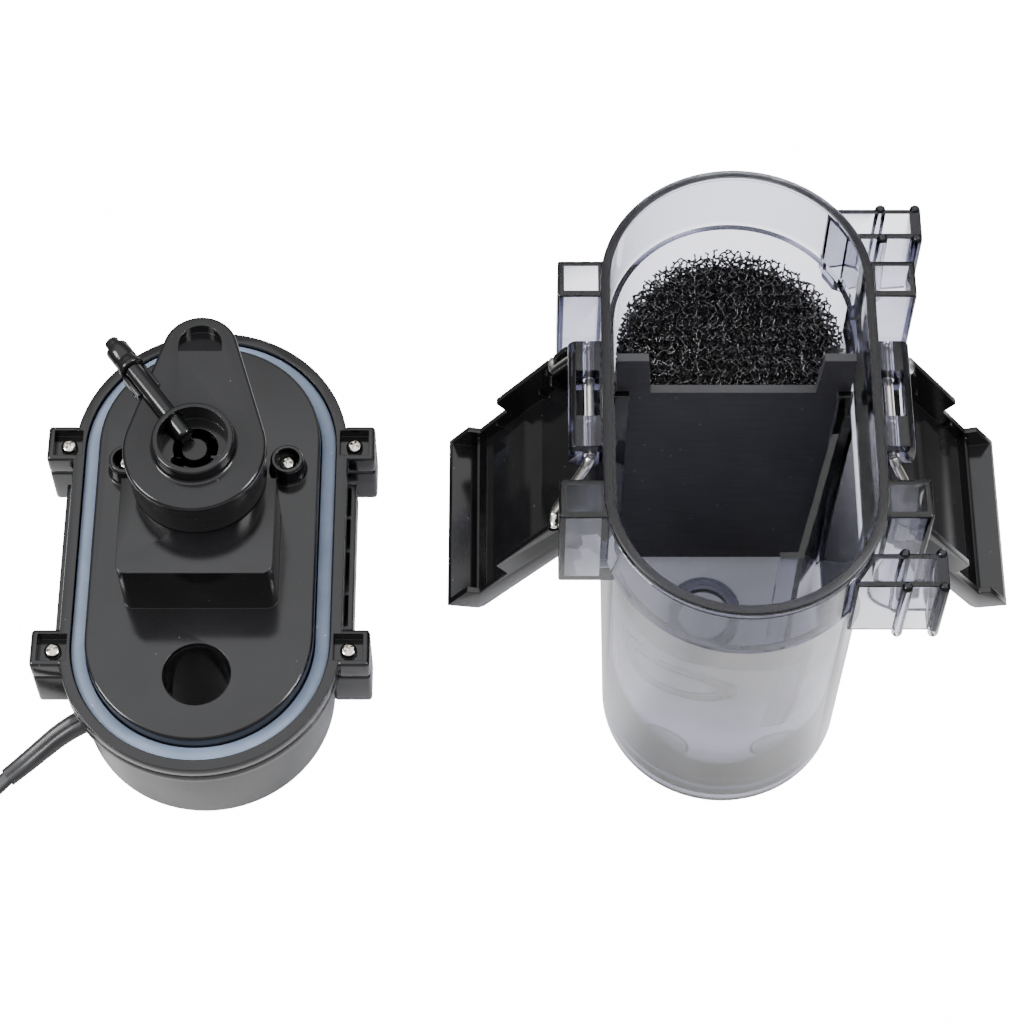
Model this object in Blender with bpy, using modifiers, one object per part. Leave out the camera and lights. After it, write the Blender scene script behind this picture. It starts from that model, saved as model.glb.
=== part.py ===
"""Small canister filter for an aquarium, opened for cleaning.

The motor head lies upside down beside the clear canister, whose two side latches hang open.
Sizes are in millimetres and turned to metres as each mesh is made. X runs from the head to
the canister, Y along both stadium outlines, and Z up from the bench that they stand on.
"""
import math

import bmesh
import bpy
from mathutils import Matrix, Vector

MM = 0.001
GAP = 0.3              # clearance between neighbouring pieces
ARC_STEPS = 18         # facets in each half-round end of a stadium outline

# Canister, about its own centre line
CAN_X = 69.0
RIM_W, RIM_L, RIM_TOP = 42.0, 78.0, 146.0        # half width, half length, height of the rim
COLLAR_Z, COLLAR_WALL = 120.0, 3.0               # underside of the collar and its wall
BODY_W, BODY_L = 39.6, 75.6                      # half sizes just under the collar
BASE_W, BASE_L, BASE_Z = 38.8, 74.8, 1.5         # half sizes at the bottom, above the foot pads
BODY_WALL, FLOOR_T, BASE_ROUND = 2.4, 2.4, 4.0
FOOT_R, FOOT_X, FOOT_Y = 9.0, 19.5, 54.0
LUG_OUT, LUG_Y0, LUG_Y1, LUG_Z0, LUG_Z1, LUG_WALL = 55.0, 32.2, 45.2, 104.0, 144.0, 2.0
RAIL_X0, RAIL_X1, RAIL_Y0, RAIL_Y1, RAIL_Z0, RAIL_Z1 = 31.0, 58.5, 55.5, 66.5, 113.0, 141.0
RAIL_WALL, RAIL_HOLLOW_X, BEAD_R = 1.8, 37.5, 1.7
KNUCKLE_X, KNUCKLE_Y0, KNUCKLE_Y1, KNUCKLE_Z0, KNUCKLE_Z1 = 52.0, 8.0, 18.5, 128.5, 140.0
KNUCKLE_WALL, KNUCKLE_ROUND = 2.4, 3.0
GUIDE_X, GUIDE_T, GUIDE_TOP = 32.5, 2.2, 116.0
RING_Y, RING_R, RING_WALL, RING_H = -6.0, 12.5, 3.5, 5.0

# Divider, foam and duct panel inside the canister
DIVIDER_Y, DIVIDER_T, DIVIDER_W, DIVIDER_BASE_W = 17.0, 2.8, 36.7, 36.0
DIVIDER_Z0, NOTCH_Z, HORN_Z, NOTCH_W = 6.0, 114.5, 133.0, 25.8
FOAM_TOP, FOAM_W, FOAM_L = 111.0, 36.0, 72.0
DUCT_TOP, DUCT_T = 111.0, 2.0

# Latches: the wire bail turns at A on the canister and carries the lever at B
WIRE_R, WIRE_HOLE_R = 1.5, 1.9
A_X, A_Z = 45.5, 134.1
BAIL_LEN, BAIL_REST = 25.6, 65.3                 # length A to B, and degrees below level at rest
BAIL_IN_Y, BAIL_OUT_Y, BAIL_TIP_Y = 20.6, 25.2, 30.2
LEVER_REST = 55.3                                # degrees below level at rest
LEVER_HALF, LEVER_WALL, LEVER_BACK = 30.6, 2.0, 12.0
LEVER_END = -3.0                                 # top of the lever's low end wall

# Motor head, about its own centre line, upside down
HEAD_X = -101.0
CASE_BASE_W, CASE_BASE_L = 41.8, 77.9            # half sizes on the bench
CASE_W, CASE_L, CASE_TOP, CASE_WALL = 44.0, 80.1, 35.7, 2.4
PLATE_W, PLATE_L, PLATE_Z0, PLATE_Z1 = 45.9, 82.0, 36.0, 45.0
SEAL_W, SEAL_L, SEAL_T, SEAL_Z0, SEAL_Z1 = 41.9, 78.0, 4.7, 39.8, 43.7
DECK_W, DECK_L, DECK_Z = 36.9, 73.0, 49.7        # the raised deck inside the seal
PLATE_SKIN = 2.2
HEAD_LUG_X, HEAD_LUG_Y0, HEAD_LUG_Y1, HEAD_LUG_Z0 = 55.0, 31.7, 44.9, 18.0
LEDGE_X, LEDGE_Y, LEDGE_Z0, LEDGE_WALL = 48.8, 27.5, 23.0, 1.8
SCREW_HEAD_R, SCREW_HEAD_H, SHANK_R, SHANK_HOLE_R = 2.8, 2.1, 1.4, 1.75
LUG_FLOOR_Z, LUG_POCKET = 41.0, 4.8
BOSS_X, BOSS_Y, BOSS_R, BOSS_TOP, BOSS_FLOOR_Z = 26.7, 25.1, 5.7, 57.0, 52.5
PORT_Y, PORT_R = -50.3, 11.0

# Pump under the head, its axis at PUMP_Y
PUMP_Y, VOLUTE_R, TIP_Y, TIP_R = 9.8, 22.9, 46.7, 12.2
BLOCK_W, BLOCK_Y0, BLOCK_Y1, BLOCK_TOP, BLOCK_CORNER, BLOCK_EDGE = 25.0, -26.6, 8.0, 74.0, 3.5, 1.2
TOWER_W, TOWER_Y1 = 18.6, 22.2
WELL_R, WELL_CUP_R, WELL_Z = 9.0, 10.6, 46.0
VOLUTE_Z0, VOLUTE_Z1, COVER_TOP, CHAMBER_R, CHAMBER_Z = 74.3, 87.0, 91.3, 18.6, 76.2
OUTLET_R = 6.5
NECK_R, NECK_INNER_R, NECK_TOP, NECK_FLOOR_Z, INLET_R = 13.1, 11.2, 97.0, 90.2, 7.2
TUBE_R, TUBE_CAP_R, TUBE_NUB_R, TUBE_Z = 2.85, 3.9, 2.4, 92.8
TUBE_TIP, TUBE_END = (-2.2, 12.2), (-28.8, 48.2)
CAP_LEN, SLEEVE_END = 13.0, 31.2            # the cover's sleeve ends just before the tube's cap
SCOOP_Y, SCOOP_HALF, SCOOP_LEN, SCOOP_SLOPE = 45.5, 7.0, 9.3, 17.5
SHAFT_R, SHAFT_HOLE_R = 1.2, 1.5

# Mains lead: relief, free stretch, coil, tie and plug
CORD_R = 2.6
RELIEF = ((-33.0, -48.0, 15.5), (-41.0, -51.0, 15.0), (-48.0, -54.2, 12.2), (-54.0, -57.6, 8.6),
          (-60.0, -61.6, 5.6), (-66.0, -66.2, 3.9))
RELIEF_R0, RELIEF_R1 = 4.3, 3.1
CORD_ROUTE = ((-66.25, -66.4, 3.8), (-71.0, -70.6, 3.1), (-77.0, -75.8, 2.7), (-83.0, -80.6, 2.7),
              (-85.6, -82.4, 2.7))
COIL_X, COIL_Y, COIL_R, COIL_HALF, COIL_Z0, COIL_Z1 = -118.0, -58.0, 30.0, 7.9, 1.5, 11.5
TIE_T, TIE_W, TIE_ANGLE = 1.1, 5.0, 15.0
TAIL_ROUTE = ((-133.6, -17.6, 9.3), (-131.0, -15.6, 9.0), (-128.5, -14.0, 8.5), (-126.3, -12.9, 8.1))
PLUG_X, PLUG_Y, PLUG_ANGLE, PLUG_LEN, PLUG_W, PLUG_H = -112.0, -6.3, 25.0, 30.0, 24.0, 16.0
PIN_LEN, PIN_W, PIN_T, PIN_SPACING = 17.0, 6.3, 1.5, 12.7

MATERIALS = {
    "clear": ((0.42, 0.44, 0.52), 0.15, 0.0),
    "pads": ((0.62, 0.64, 0.68), 0.45, 0.0),
    "black_gloss": ((0.02, 0.02, 0.022), 0.22, 0.0),
    "black_satin": ((0.035, 0.035, 0.038), 0.4, 0.0),
    "charcoal": ((0.03, 0.031, 0.036), 0.7, 0.0),
    "foam": ((0.012, 0.012, 0.013), 0.85, 0.0),
    "silicone": ((0.36, 0.41, 0.48), 0.5, 0.0),
    "steel": ((0.7, 0.68, 0.65), 0.25, 1.0),
    "copper": ((0.7, 0.35, 0.2), 0.35, 1.0),
    "magnet": ((0.09, 0.09, 0.095), 0.5, 0.3),
    "ceramic": ((0.85, 0.85, 0.82), 0.3, 0.0),
    "resin": ((0.05, 0.05, 0.055), 0.35, 0.0),
    "cord": ((0.03, 0.03, 0.032), 0.5, 0.0),
    "brass": ((0.75, 0.6, 0.3), 0.3, 1.0),
}


# ---------------------------------------------------------------- tools

def clear_scene():
    for obj in list(bpy.data.objects):
        bpy.data.objects.remove(obj, do_unlink=True)


def make_material(name):
    colour, roughness, metallic = MATERIALS[name]
    made = bpy.data.materials.new(name)
    made.use_nodes = True
    shader = made.node_tree.nodes["Principled BSDF"]
    shader.inputs["Base Color"].default_value = (*colour, 1.0)
    shader.inputs["Roughness"].default_value = roughness
    shader.inputs["Metallic"].default_value = metallic
    made.diffuse_color = (*colour, 1.0)
    return made


def new_object(name, mesh):
    obj = bpy.data.objects.new(name, mesh)
    PARTS.objects.link(obj)
    return obj


def from_bmesh(name, bm):
    mesh = bpy.data.meshes.new(name)
    bm.to_mesh(mesh)
    bm.free()
    return new_object(name, mesh)


def bake(obj):
    """Turn an object, with its modifiers, into a plain welded mesh object of the same name."""
    depsgraph = bpy.context.evaluated_depsgraph_get()
    mesh = bpy.data.meshes.new_from_object(obj.evaluated_get(depsgraph), depsgraph=depsgraph)
    name, matrix = obj.name, obj.matrix_world.copy()
    bm = bmesh.new()
    bm.from_mesh(mesh)
    bmesh.ops.remove_doubles(bm, verts=bm.verts, dist=1e-6)
    bm.to_mesh(mesh)
    bm.free()
    bpy.data.objects.remove(obj, do_unlink=True)
    made = new_object(name, mesh)
    made.matrix_world = matrix
    return made


def boolean(target, tool, operation):
    """Join or cut target with tool, and remove the tool."""
    modifier = target.modifiers.new(operation.lower(), "BOOLEAN")
    modifier.operation = operation
    modifier.solver = "EXACT"
    modifier.object = tool
    bpy.context.view_layer.update()
    made = bake(target)
    bpy.data.objects.remove(tool, do_unlink=True)
    return made


def join(target, *tools):
    for tool in tools:
        target = boolean(target, tool, "UNION")
    return target


def cut(target, *tools):
    for tool in tools:
        target = boolean(target, tool, "DIFFERENCE")
    return target


def arc(cx, cy, radius, start, end, steps):
    """Points from start to end degrees round a centre, both ends included."""
    angles = [math.radians(start + (end - start) * k / steps) for k in range(steps + 1)]
    return [(cx + radius * math.cos(a), cy + radius * math.sin(a)) for a in angles]


def circle(cx, cy, radius, steps=24):
    return arc(cx, cy, radius, 0, 360, steps)[:-1]


def stadium(half_w, half_l):
    straight = half_l - half_w
    return arc(0, straight, half_w, 0, 180, ARC_STEPS) + arc(0, -straight, half_w, 180, 360, ARC_STEPS)


def teardrop(inset=0.0):
    """Big circle at the pump's axis and a small one at the tip, joined by their tangents."""
    big, small = VOLUTE_R - inset, TIP_R - inset
    lean = math.degrees(math.asin((big - small) / (TIP_Y - PUMP_Y)))
    return arc(0, TIP_Y, small, lean, 180 - lean, 12) + arc(0, PUMP_Y, big, 180 - lean, 360 + lean, 28)


def prism(name, outlines, z0, z1):
    """A flat outline, with any holes, as a filled 2D curve of the given thickness."""
    curve = bpy.data.curves.new(name, "CURVE")
    curve.dimensions = "2D"
    curve.fill_mode = "BOTH"
    curve.extrude = (z1 - z0) / 2 * MM
    for outline in outlines:
        spline = curve.splines.new("POLY")
        spline.points.add(len(outline) - 1)
        for point, (x, y) in zip(spline.points, outline):
            point.co = (x * MM, y * MM, 0, 1)
        spline.use_cyclic_u = True
    obj = new_object(name, curve)
    bpy.context.view_layer.update()
    made = bake(obj)
    made.data.transform(Matrix.Translation((0, 0, (z0 + z1) / 2 * MM)))
    return made


def stack(name, rings):
    """A solid lofted through (half width, half length, height) stadium rings, bottom to top."""
    bm = bmesh.new()
    rows = []
    for half_w, half_l, z in rings:
        rows.append([bm.verts.new((x * MM, y * MM, z * MM)) for x, y in stadium(half_w, half_l)])
    for low, high in zip(rows, rows[1:]):
        for k, corner in enumerate(low):
            after = (k + 1) % len(low)
            bm.faces.new((corner, low[after], high[after], high[k]))
    bm.faces.new(list(reversed(rows[0])))
    bm.faces.new(rows[-1])
    return from_bmesh(name, bm)


def box(name, low, high):
    bm = bmesh.new()
    bmesh.ops.create_cube(bm, size=1.0)
    size = [(b - a) * MM for a, b in zip(low, high)]
    middle = [(a + b) / 2 * MM for a, b in zip(low, high)]
    bmesh.ops.scale(bm, vec=size, verts=bm.verts)
    bmesh.ops.translate(bm, vec=middle, verts=bm.verts)
    return from_bmesh(name, bm)


def rod(name, start, end, radius, end_radius=None, steps=20):
    """A round bar between two points."""
    a, b = Vector(start) * MM, Vector(end) * MM
    bm = bmesh.new()
    last = radius if end_radius is None else end_radius
    bmesh.ops.create_cone(bm, cap_ends=True, segments=steps, radius1=radius * MM,
                          radius2=last * MM, depth=(b - a).length)
    turn = Vector((0, 0, 1)).rotation_difference(b - a).to_matrix().to_4x4()
    bmesh.ops.transform(bm, matrix=Matrix.Translation((a + b) / 2) @ turn, verts=bm.verts)
    return from_bmesh(name, bm)


def ring(name, cx, cy, outer, inner, z0, z1, steps=24):
    return prism(name, [circle(cx, cy, outer, steps), circle(cx, cy, inner, steps)], z0, z1)


def tube(name, points, radius, radii=None, resolution=2):
    """A round wire or cable through points in millimetres, with closed ends."""
    curve = bpy.data.curves.new(name, "CURVE")
    curve.dimensions = "3D"
    curve.bevel_depth = radius * MM
    curve.bevel_resolution = resolution
    curve.use_fill_caps = True
    spline = curve.splines.new("POLY")
    spline.points.add(len(points) - 1)
    for k, (x, y, z) in enumerate(points):
        spline.points[k].co = (x * MM, y * MM, z * MM, 1)
        spline.points[k].radius = 1.0 if radii is None else radii[k] / radius
    obj = new_object(name, curve)
    bpy.context.view_layer.update()
    return bake(obj)


def smooth_route(points, spacing):
    """Points about spacing apart on a Catmull-Rom curve through the route's own points."""
    route = [Vector(p) for p in points]
    padded = [route[0] * 2 - route[1]] + route + [route[-1] * 2 - route[-2]]
    made = []
    for p0, p1, p2, p3 in zip(padded, padded[1:], padded[2:], padded[3:]):
        count = max(1, round((p2 - p1).length / spacing))
        for k in range(count):
            t = k / count
            made.append(0.5 * (2 * p1 + (p2 - p0) * t + (2 * p0 - 5 * p1 + 4 * p2 - p3) * t * t
                               + (3 * p1 - p0 - 3 * p2 + p3) * t ** 3))
    return made + [route[-1]]


def round_edges(obj, width, angle=40):
    modifier = obj.modifiers.new("edges", "BEVEL")
    modifier.width = width * MM
    modifier.segments = 2
    modifier.limit_method = "ANGLE"
    modifier.angle_limit = math.radians(angle)
    bpy.context.view_layer.update()
    return bake(obj)


def finish(obj, material, parent, pivot=None):
    """Give a piece its material, its parent and, when it moves, its origin on the joint's axis."""
    obj.data.materials.clear()
    obj.data.materials.append(MADE[material])
    obj.data.shade_smooth()
    obj.data.set_sharp_from_angle(angle=math.radians(35))
    if pivot is not None:
        point = Vector(pivot) * MM
        obj.data.transform(Matrix.Translation(-point))
        obj.location = point
    obj.parent = parent
    return obj


def empty(name, x, parent=None, y=0.0, z=0.0):
    made = bpy.data.objects.new(name, None)
    made.location = (x * MM, y * MM, z * MM)
    made.parent = parent
    PARTS.objects.link(made)
    return made


# ---------------------------------------------------------------- canister

def canister_lugs():
    """Open square boxes at the four corners of the collar."""
    made = []
    for sx in (-1, 1):
        for sy in (-1, 1):
            x0, x1 = sorted((sx * (BODY_W - 1.5), sx * LUG_OUT))
            y0, y1 = sorted((sy * LUG_Y0, sy * LUG_Y1))
            made.append(box("lug", (x0, y0, LUG_Z0), (x1, y1, LUG_Z1)))
    return made


def canister_lug_pockets():
    made = []
    for sx in (-1, 1):
        for sy in (-1, 1):
            x0, x1 = sorted((sx * (RIM_W + 0.6), sx * (LUG_OUT - LUG_WALL)))
            y0, y1 = sorted((sy * (LUG_Y0 + LUG_WALL), sy * (LUG_Y1 - LUG_WALL)))
            made.append(box("pocket", (x0, y0, LUG_Z0 + LUG_WALL), (x1, y1, LUG_Z1 + 1)))
    return made


def canister_knuckles():
    """Per side, a block whose two ends are the eyes for the bail's wire."""
    made = []
    for sx in (-1, 1):
        r = KNUCKLE_ROUND
        inner, outer = sx * (RIM_W - 1.0), sx * (KNUCKLE_X - r)
        low, high = KNUCKLE_Z0 + r, KNUCKLE_Z1 - r
        side = 0 if sx > 0 else 180
        outline = [(inner, KNUCKLE_Z1), (inner, KNUCKLE_Z0)]
        outline += arc(outer, low, r, side - sx * 90, side, 5) + arc(outer, high, r, side, side + sx * 90, 5)
        made.append(upright(prism("knuckle", [outline], -KNUCKLE_Y1, KNUCKLE_Y1), 0))
    return made


def canister_rails():
    """Two hollow hanger rails beside the right-hand latch, with beads for a sliding bracket."""
    made = []
    for sy in (-1, 1):
        y0, y1 = sorted((sy * RAIL_Y0, sy * RAIL_Y1))
        made.append(box("rail", (RAIL_X0, y0, RAIL_Z0), (RAIL_X1, y1, RAIL_Z1)))
        for x in (46.0, RAIL_X1 - BEAD_R):
            for y in (y0, y1):
                made.append(rod("bead", (x, y, RAIL_Z0 - 2), (x, y, RAIL_Z1 + 0.6), BEAD_R, steps=10))
    return made


def canister_guides():
    """Ribs on both side walls that hold the divider, and its low back stops."""
    made = []
    front = DIVIDER_Y - DIVIDER_T / 2 - GAP
    back = DIVIDER_Y + DIVIDER_T / 2 + GAP
    for sx in (-1, 1):
        x0, x1 = sorted((sx * GUIDE_X, sx * (BODY_W - 1.5)))
        made.append(box("guide", (x0, front - GUIDE_T, BASE_Z + 1), (x1, front, GUIDE_TOP)))
        x0, x1 = sorted((sx * (GUIDE_X + 3.0), sx * (BODY_W - 1.5)))
        made.append(box("guide", (x0, back, BASE_Z + 1), (x1, back + GUIDE_T, GUIDE_TOP)))
    return made


def make_canister(parent):
    outer = stack("canister", [
        (BASE_W - BASE_ROUND, BASE_L - BASE_ROUND, BASE_Z),
        (BASE_W - BASE_ROUND * 0.3, BASE_L - BASE_ROUND * 0.3, BASE_Z + BASE_ROUND * 0.3),
        (BASE_W, BASE_L, BASE_Z + BASE_ROUND),
        (BODY_W, BODY_L, COLLAR_Z - 1.5),
        (RIM_W, RIM_L, COLLAR_Z),
        (RIM_W, RIM_L, RIM_TOP)])
    obj = join(outer, *canister_lugs(), *canister_knuckles(), *canister_rails())
    inner_base_w, inner_base_l = BASE_W - BODY_WALL, BASE_L - BODY_WALL
    inner_w, inner_l = BODY_W - BODY_WALL, BODY_L - BODY_WALL
    floor = BASE_Z + FLOOR_T
    cavity = stack("cavity", [
        (inner_base_w - 2.5, inner_base_l - 2.5, floor),
        (inner_base_w, inner_base_l, floor + 2.5),
        (inner_w, inner_l, COLLAR_Z),
        (RIM_W - COLLAR_WALL, RIM_L - COLLAR_WALL, COLLAR_Z + 0.02),
        (RIM_W - COLLAR_WALL, RIM_L - COLLAR_WALL, RIM_TOP + 1)])
    obj = cut(obj, cavity, *canister_lug_pockets())
    for sy in (-1, 1):
        y0, y1 = sorted((sy * (RAIL_Y0 + RAIL_WALL), sy * (RAIL_Y1 - RAIL_WALL)))
        far_x = RAIL_X1 - 2 * RAIL_WALL
        obj = cut(obj, box("hollow", (RAIL_HOLLOW_X, y0, RAIL_Z0 - 1), (far_x, y1, RAIL_Z1 + 1)))
    for sx in (-1, 1):
        x = sx * A_X
        obj = cut(obj, rod("bore", (x, -KNUCKLE_Y1 - 1, A_Z), (x, KNUCKLE_Y1 + 1, A_Z), WIRE_HOLE_R, steps=16))
        x0, x1 = sorted((sx * (RIM_W + 0.6), sx * (KNUCKLE_X - KNUCKLE_WALL)))
        obj = cut(obj, box("window", (x0, -KNUCKLE_Y0, KNUCKLE_Z0 - 1), (x1, KNUCKLE_Y0, KNUCKLE_Z1 + 1)))
    obj = join(obj, *canister_guides())
    boss = ring("boss", -4, RING_Y, RING_R, RING_R - RING_WALL, floor - 0.5, floor + RING_H)
    return finish(join(obj, boss), "clear", parent)


def make_feet(parent):
    places = [(sx, sy) for sy in (-1, 1) for sx in (-1, 1)]
    for number, (sx, sy) in enumerate(places, 1):
        x, y = sx * FOOT_X, sy * FOOT_Y
        foot = rod(f"foot_pad_{number}", (x, y, 0), (x, y, BASE_Z - GAP), FOOT_R, steps=24)
        finish(foot, "pads", parent)


def divider_outline():
    """Front view of the divider plate, X across and Y up."""
    return [(-DIVIDER_BASE_W, DIVIDER_Z0), (DIVIDER_BASE_W, DIVIDER_Z0), (DIVIDER_W, HORN_Z),
            (NOTCH_W + 1.2, HORN_Z), (NOTCH_W, NOTCH_Z), (-NOTCH_W, NOTCH_Z),
            (-NOTCH_W - 1.2, HORN_Z), (-DIVIDER_W, HORN_Z)]


def upright(obj, y):
    """Turn a prism drawn in X and Y so that its outline stands in X and Z at the given Y."""
    turn = Matrix.Rotation(math.radians(90), 4, "X")
    obj.data.transform(Matrix.Translation((0, y * MM, 0)) @ turn)
    return obj


def make_divider(parent):
    plate = upright(prism("divider_plate", [divider_outline()], -DIVIDER_T / 2, DIVIDER_T / 2), DIVIDER_Y)
    finish(plate, "charcoal", parent, pivot=(0, DIVIDER_Y, DIVIDER_Z0))


def make_foam(parent):
    front = DIVIDER_Y + DIVIDER_T / 2 + 2 * GAP + GUIDE_T
    straight = FOAM_L - FOAM_W
    outline = [(FOAM_W, front)] + arc(0, straight, FOAM_W, 0, 180, ARC_STEPS) + [(-FOAM_W, front)]
    block = prism("foam_block", [outline], BASE_Z + FLOOR_T + 3.2, FOAM_TOP)
    finish(block, "foam", parent, pivot=(0, 45, BASE_Z + FLOOR_T + 3.2))


def make_duct(parent):
    """Clear duct wall from the right guide rib to the front, with a short return."""
    t = DUCT_T
    outline = [(33.0, 11.4), (18.0, -39.0), (12.5, -39.0), (12.5, -39.0 - t), (19.6, -39.0 - t), (35.0, 10.9),
               (35.0, 11.4)]
    finish(prism("duct_panel", [outline], BASE_Z + FLOOR_T + GAP + 2.6, DUCT_TOP), "clear", parent)


# ---------------------------------------------------------------- latches

def lever_side():
    """Side view of a lever: X along it from the bail's pivot, Y towards its open side."""
    back = -LEVER_BACK
    return [(-8.0, 0.9), (-11.5, LEVER_END), (-11.5, back + 4.4), (-10.9, back + 2.4), (-9.6, back + 0.8),
            (-7.6, back), (55.0, back), (57.4, back + 0.8), (58.4, back + 2.6), (61.7, -1.8), (50.0, -1.8),
            (48.8, -5.5), (32.6, -5.2), (30.5, 0.7)]


def lever_hollow():
    inner = LEVER_WALL - LEVER_BACK
    return [(-13.0, 6.0), (-13.0, LEVER_END), (-9.5, LEVER_END), (-9.5, inner), (56.2, inner), (59.7, -1.2),
            (60.2, 6.0)]


def lever_solid(name):
    obj = upright(prism(name, [lever_side()], -LEVER_HALF, LEVER_HALF), 0)
    inside = LEVER_HALF - LEVER_WALL
    hollow = upright(prism("hollow", [lever_hollow()], -inside, inside), 0)
    obj = cut(obj, hollow)
    floor = LEVER_WALL - LEVER_BACK
    obj = join(obj, box("ridge", (51.0, -inside - 0.5, floor - 0.5), (52.6, inside + 0.5, floor + 3.4)))
    for sy in (-1, 1):
        y0, y1 = sorted((sy * (inside + 0.5), sy * (inside - 1.8)))
        for x0 in (-5.2, 4.0):
            obj = join(obj, box("rib", (x0, y0, floor - 0.5), (x0 + 1.4, y1, -0.6)))
        y0, y1 = sorted((sy * (inside - 1.8), sy * (inside - 0.7)))
        obj = join(obj, box("web", (-4.5, y0, floor - 0.6), (4.7, y1, -2.6)))
    return cut(obj, rod("bore", (0, -LEVER_HALF - 1, 0), (0, LEVER_HALF + 1, 0), WIRE_HOLE_R, steps=16))


def bail_points():
    """Bent wire in its own plane: X from A towards B, Y across."""
    half = [(BAIL_LEN, BAIL_TIP_Y), (BAIL_LEN, BAIL_OUT_Y + 1.6), (BAIL_LEN - 0.7, BAIL_OUT_Y + 0.4),
            (BAIL_LEN - 2.2, BAIL_OUT_Y - 0.3), (2.6, BAIL_IN_Y + 0.1), (0.9, BAIL_IN_Y - 0.5),
            (0.0, BAIL_IN_Y - 1.9)]
    return [(x, y, 0) for x, y in half] + [(x, -y, 0) for x, y in reversed(half)]


def make_latch(side, sign, parent):
    a = (sign * A_X, 0, A_Z)
    b_x = sign * (A_X + BAIL_LEN * math.cos(math.radians(BAIL_REST)))
    b_z = A_Z - BAIL_LEN * math.sin(math.radians(BAIL_REST))
    face = 0.0 if sign > 0 else math.pi
    bail = finish(tube(f"{side}_bail_wire", bail_points(), WIRE_R, resolution=2), "steel", parent)
    bail.location = Vector(a) * MM
    bail.rotation_euler = (0, math.radians(BAIL_REST), face)
    lever = finish(lever_solid(f"{side}_latch_lever"), "black_gloss", parent)
    lever.location = Vector((b_x, 0, b_z)) * MM
    lever.rotation_euler = (0, math.radians(LEVER_REST), face)


# ---------------------------------------------------------------- motor head

def head_lug(z0, z1, sx, sy, inner):
    x0, x1 = sorted((sx * inner, sx * HEAD_LUG_X))
    y0, y1 = sorted((sy * HEAD_LUG_Y0, sy * HEAD_LUG_Y1))
    return box("lug", (x0, y0, z0), (x1, y1, z1))


def head_corners():
    return [(sx, sy) for sy in (-1, 1) for sx in (-1, 1)]


def screw_place(sx, sy):
    return sx * (HEAD_LUG_X - LUG_POCKET - 2.2), sy * (HEAD_LUG_Y0 + HEAD_LUG_Y1) / 2


def side_ledge(sx):
    """Cored box between two lugs: the latch lever hooks over its far end."""
    x0, x1 = sorted((sx * (CASE_W - 2.0), sx * LEDGE_X))
    block = box("ledge", (x0, -LEDGE_Y, LEDGE_Z0), (x1, LEDGE_Y, CASE_TOP))
    for y0, y1 in ((-26.0, -14.6), (-13.4, 1.4), (2.6, 14.0), (15.2, 26.0)):
        x0, x1 = sorted((sx * (CASE_W + 0.2), sx * (LEDGE_X - LEDGE_WALL)))
        block = cut(block, box("core", (x0, y0, LEDGE_Z0 + LEDGE_WALL), (x1, y1, CASE_TOP + 1)))
    return block


def make_head_casing(parent):
    obj = stack("head_casing", [
        (CASE_BASE_W - 4.0, CASE_BASE_L - 4.0, 0.0),
        (CASE_BASE_W - 1.2, CASE_BASE_L - 1.2, 1.1),
        (CASE_BASE_W, CASE_BASE_L, 4.0),
        (CASE_W, CASE_L, CASE_TOP)])
    t = CASE_WALL
    obj = cut(obj, stack("cavity", [
        (CASE_BASE_W - t - 2.0, CASE_BASE_L - t - 2.0, t),
        (CASE_BASE_W - t, CASE_BASE_L - t, t + 2.0),
        (CASE_W - t, CASE_L - t, CASE_TOP + 1)]))
    for sx, sy in head_corners():
        obj = join(obj, head_lug(HEAD_LUG_Z0, CASE_TOP, sx, sy, CASE_W - 1.6))
    for sx in (-1, 1):
        obj = join(obj, side_ledge(sx))
        obj = join(obj, rod("post", (sx * BOSS_X, BOSS_Y, t - 0.5), (sx * BOSS_X, BOSS_Y, 46.9), 4.2))
        obj = cut(obj, rod("pilot", (sx * BOSS_X, BOSS_Y, 34), (sx * BOSS_X, BOSS_Y, 48), SHANK_HOLE_R, steps=12))
    for sx, sy in head_corners():
        x, y = screw_place(sx, sy)
        obj = cut(obj, rod("pilot", (x, y, 25), (x, y, CASE_TOP + 1), SHANK_HOLE_R, steps=12))
    obj = cut(obj, rod("port", (0, PORT_Y, -1), (0, PORT_Y, t + 1), PORT_R + 2 + GAP, steps=32),
              rod("port", (0, TIP_Y, -1), (0, TIP_Y, t + 1), OUTLET_R + 2 + GAP, steps=24),
              rod("cord_hole", RELIEF[0], (-49.0, -54.0, 14.5), RELIEF_R0 + 0.6, steps=20))
    return finish(obj, "black_satin", parent)


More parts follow.
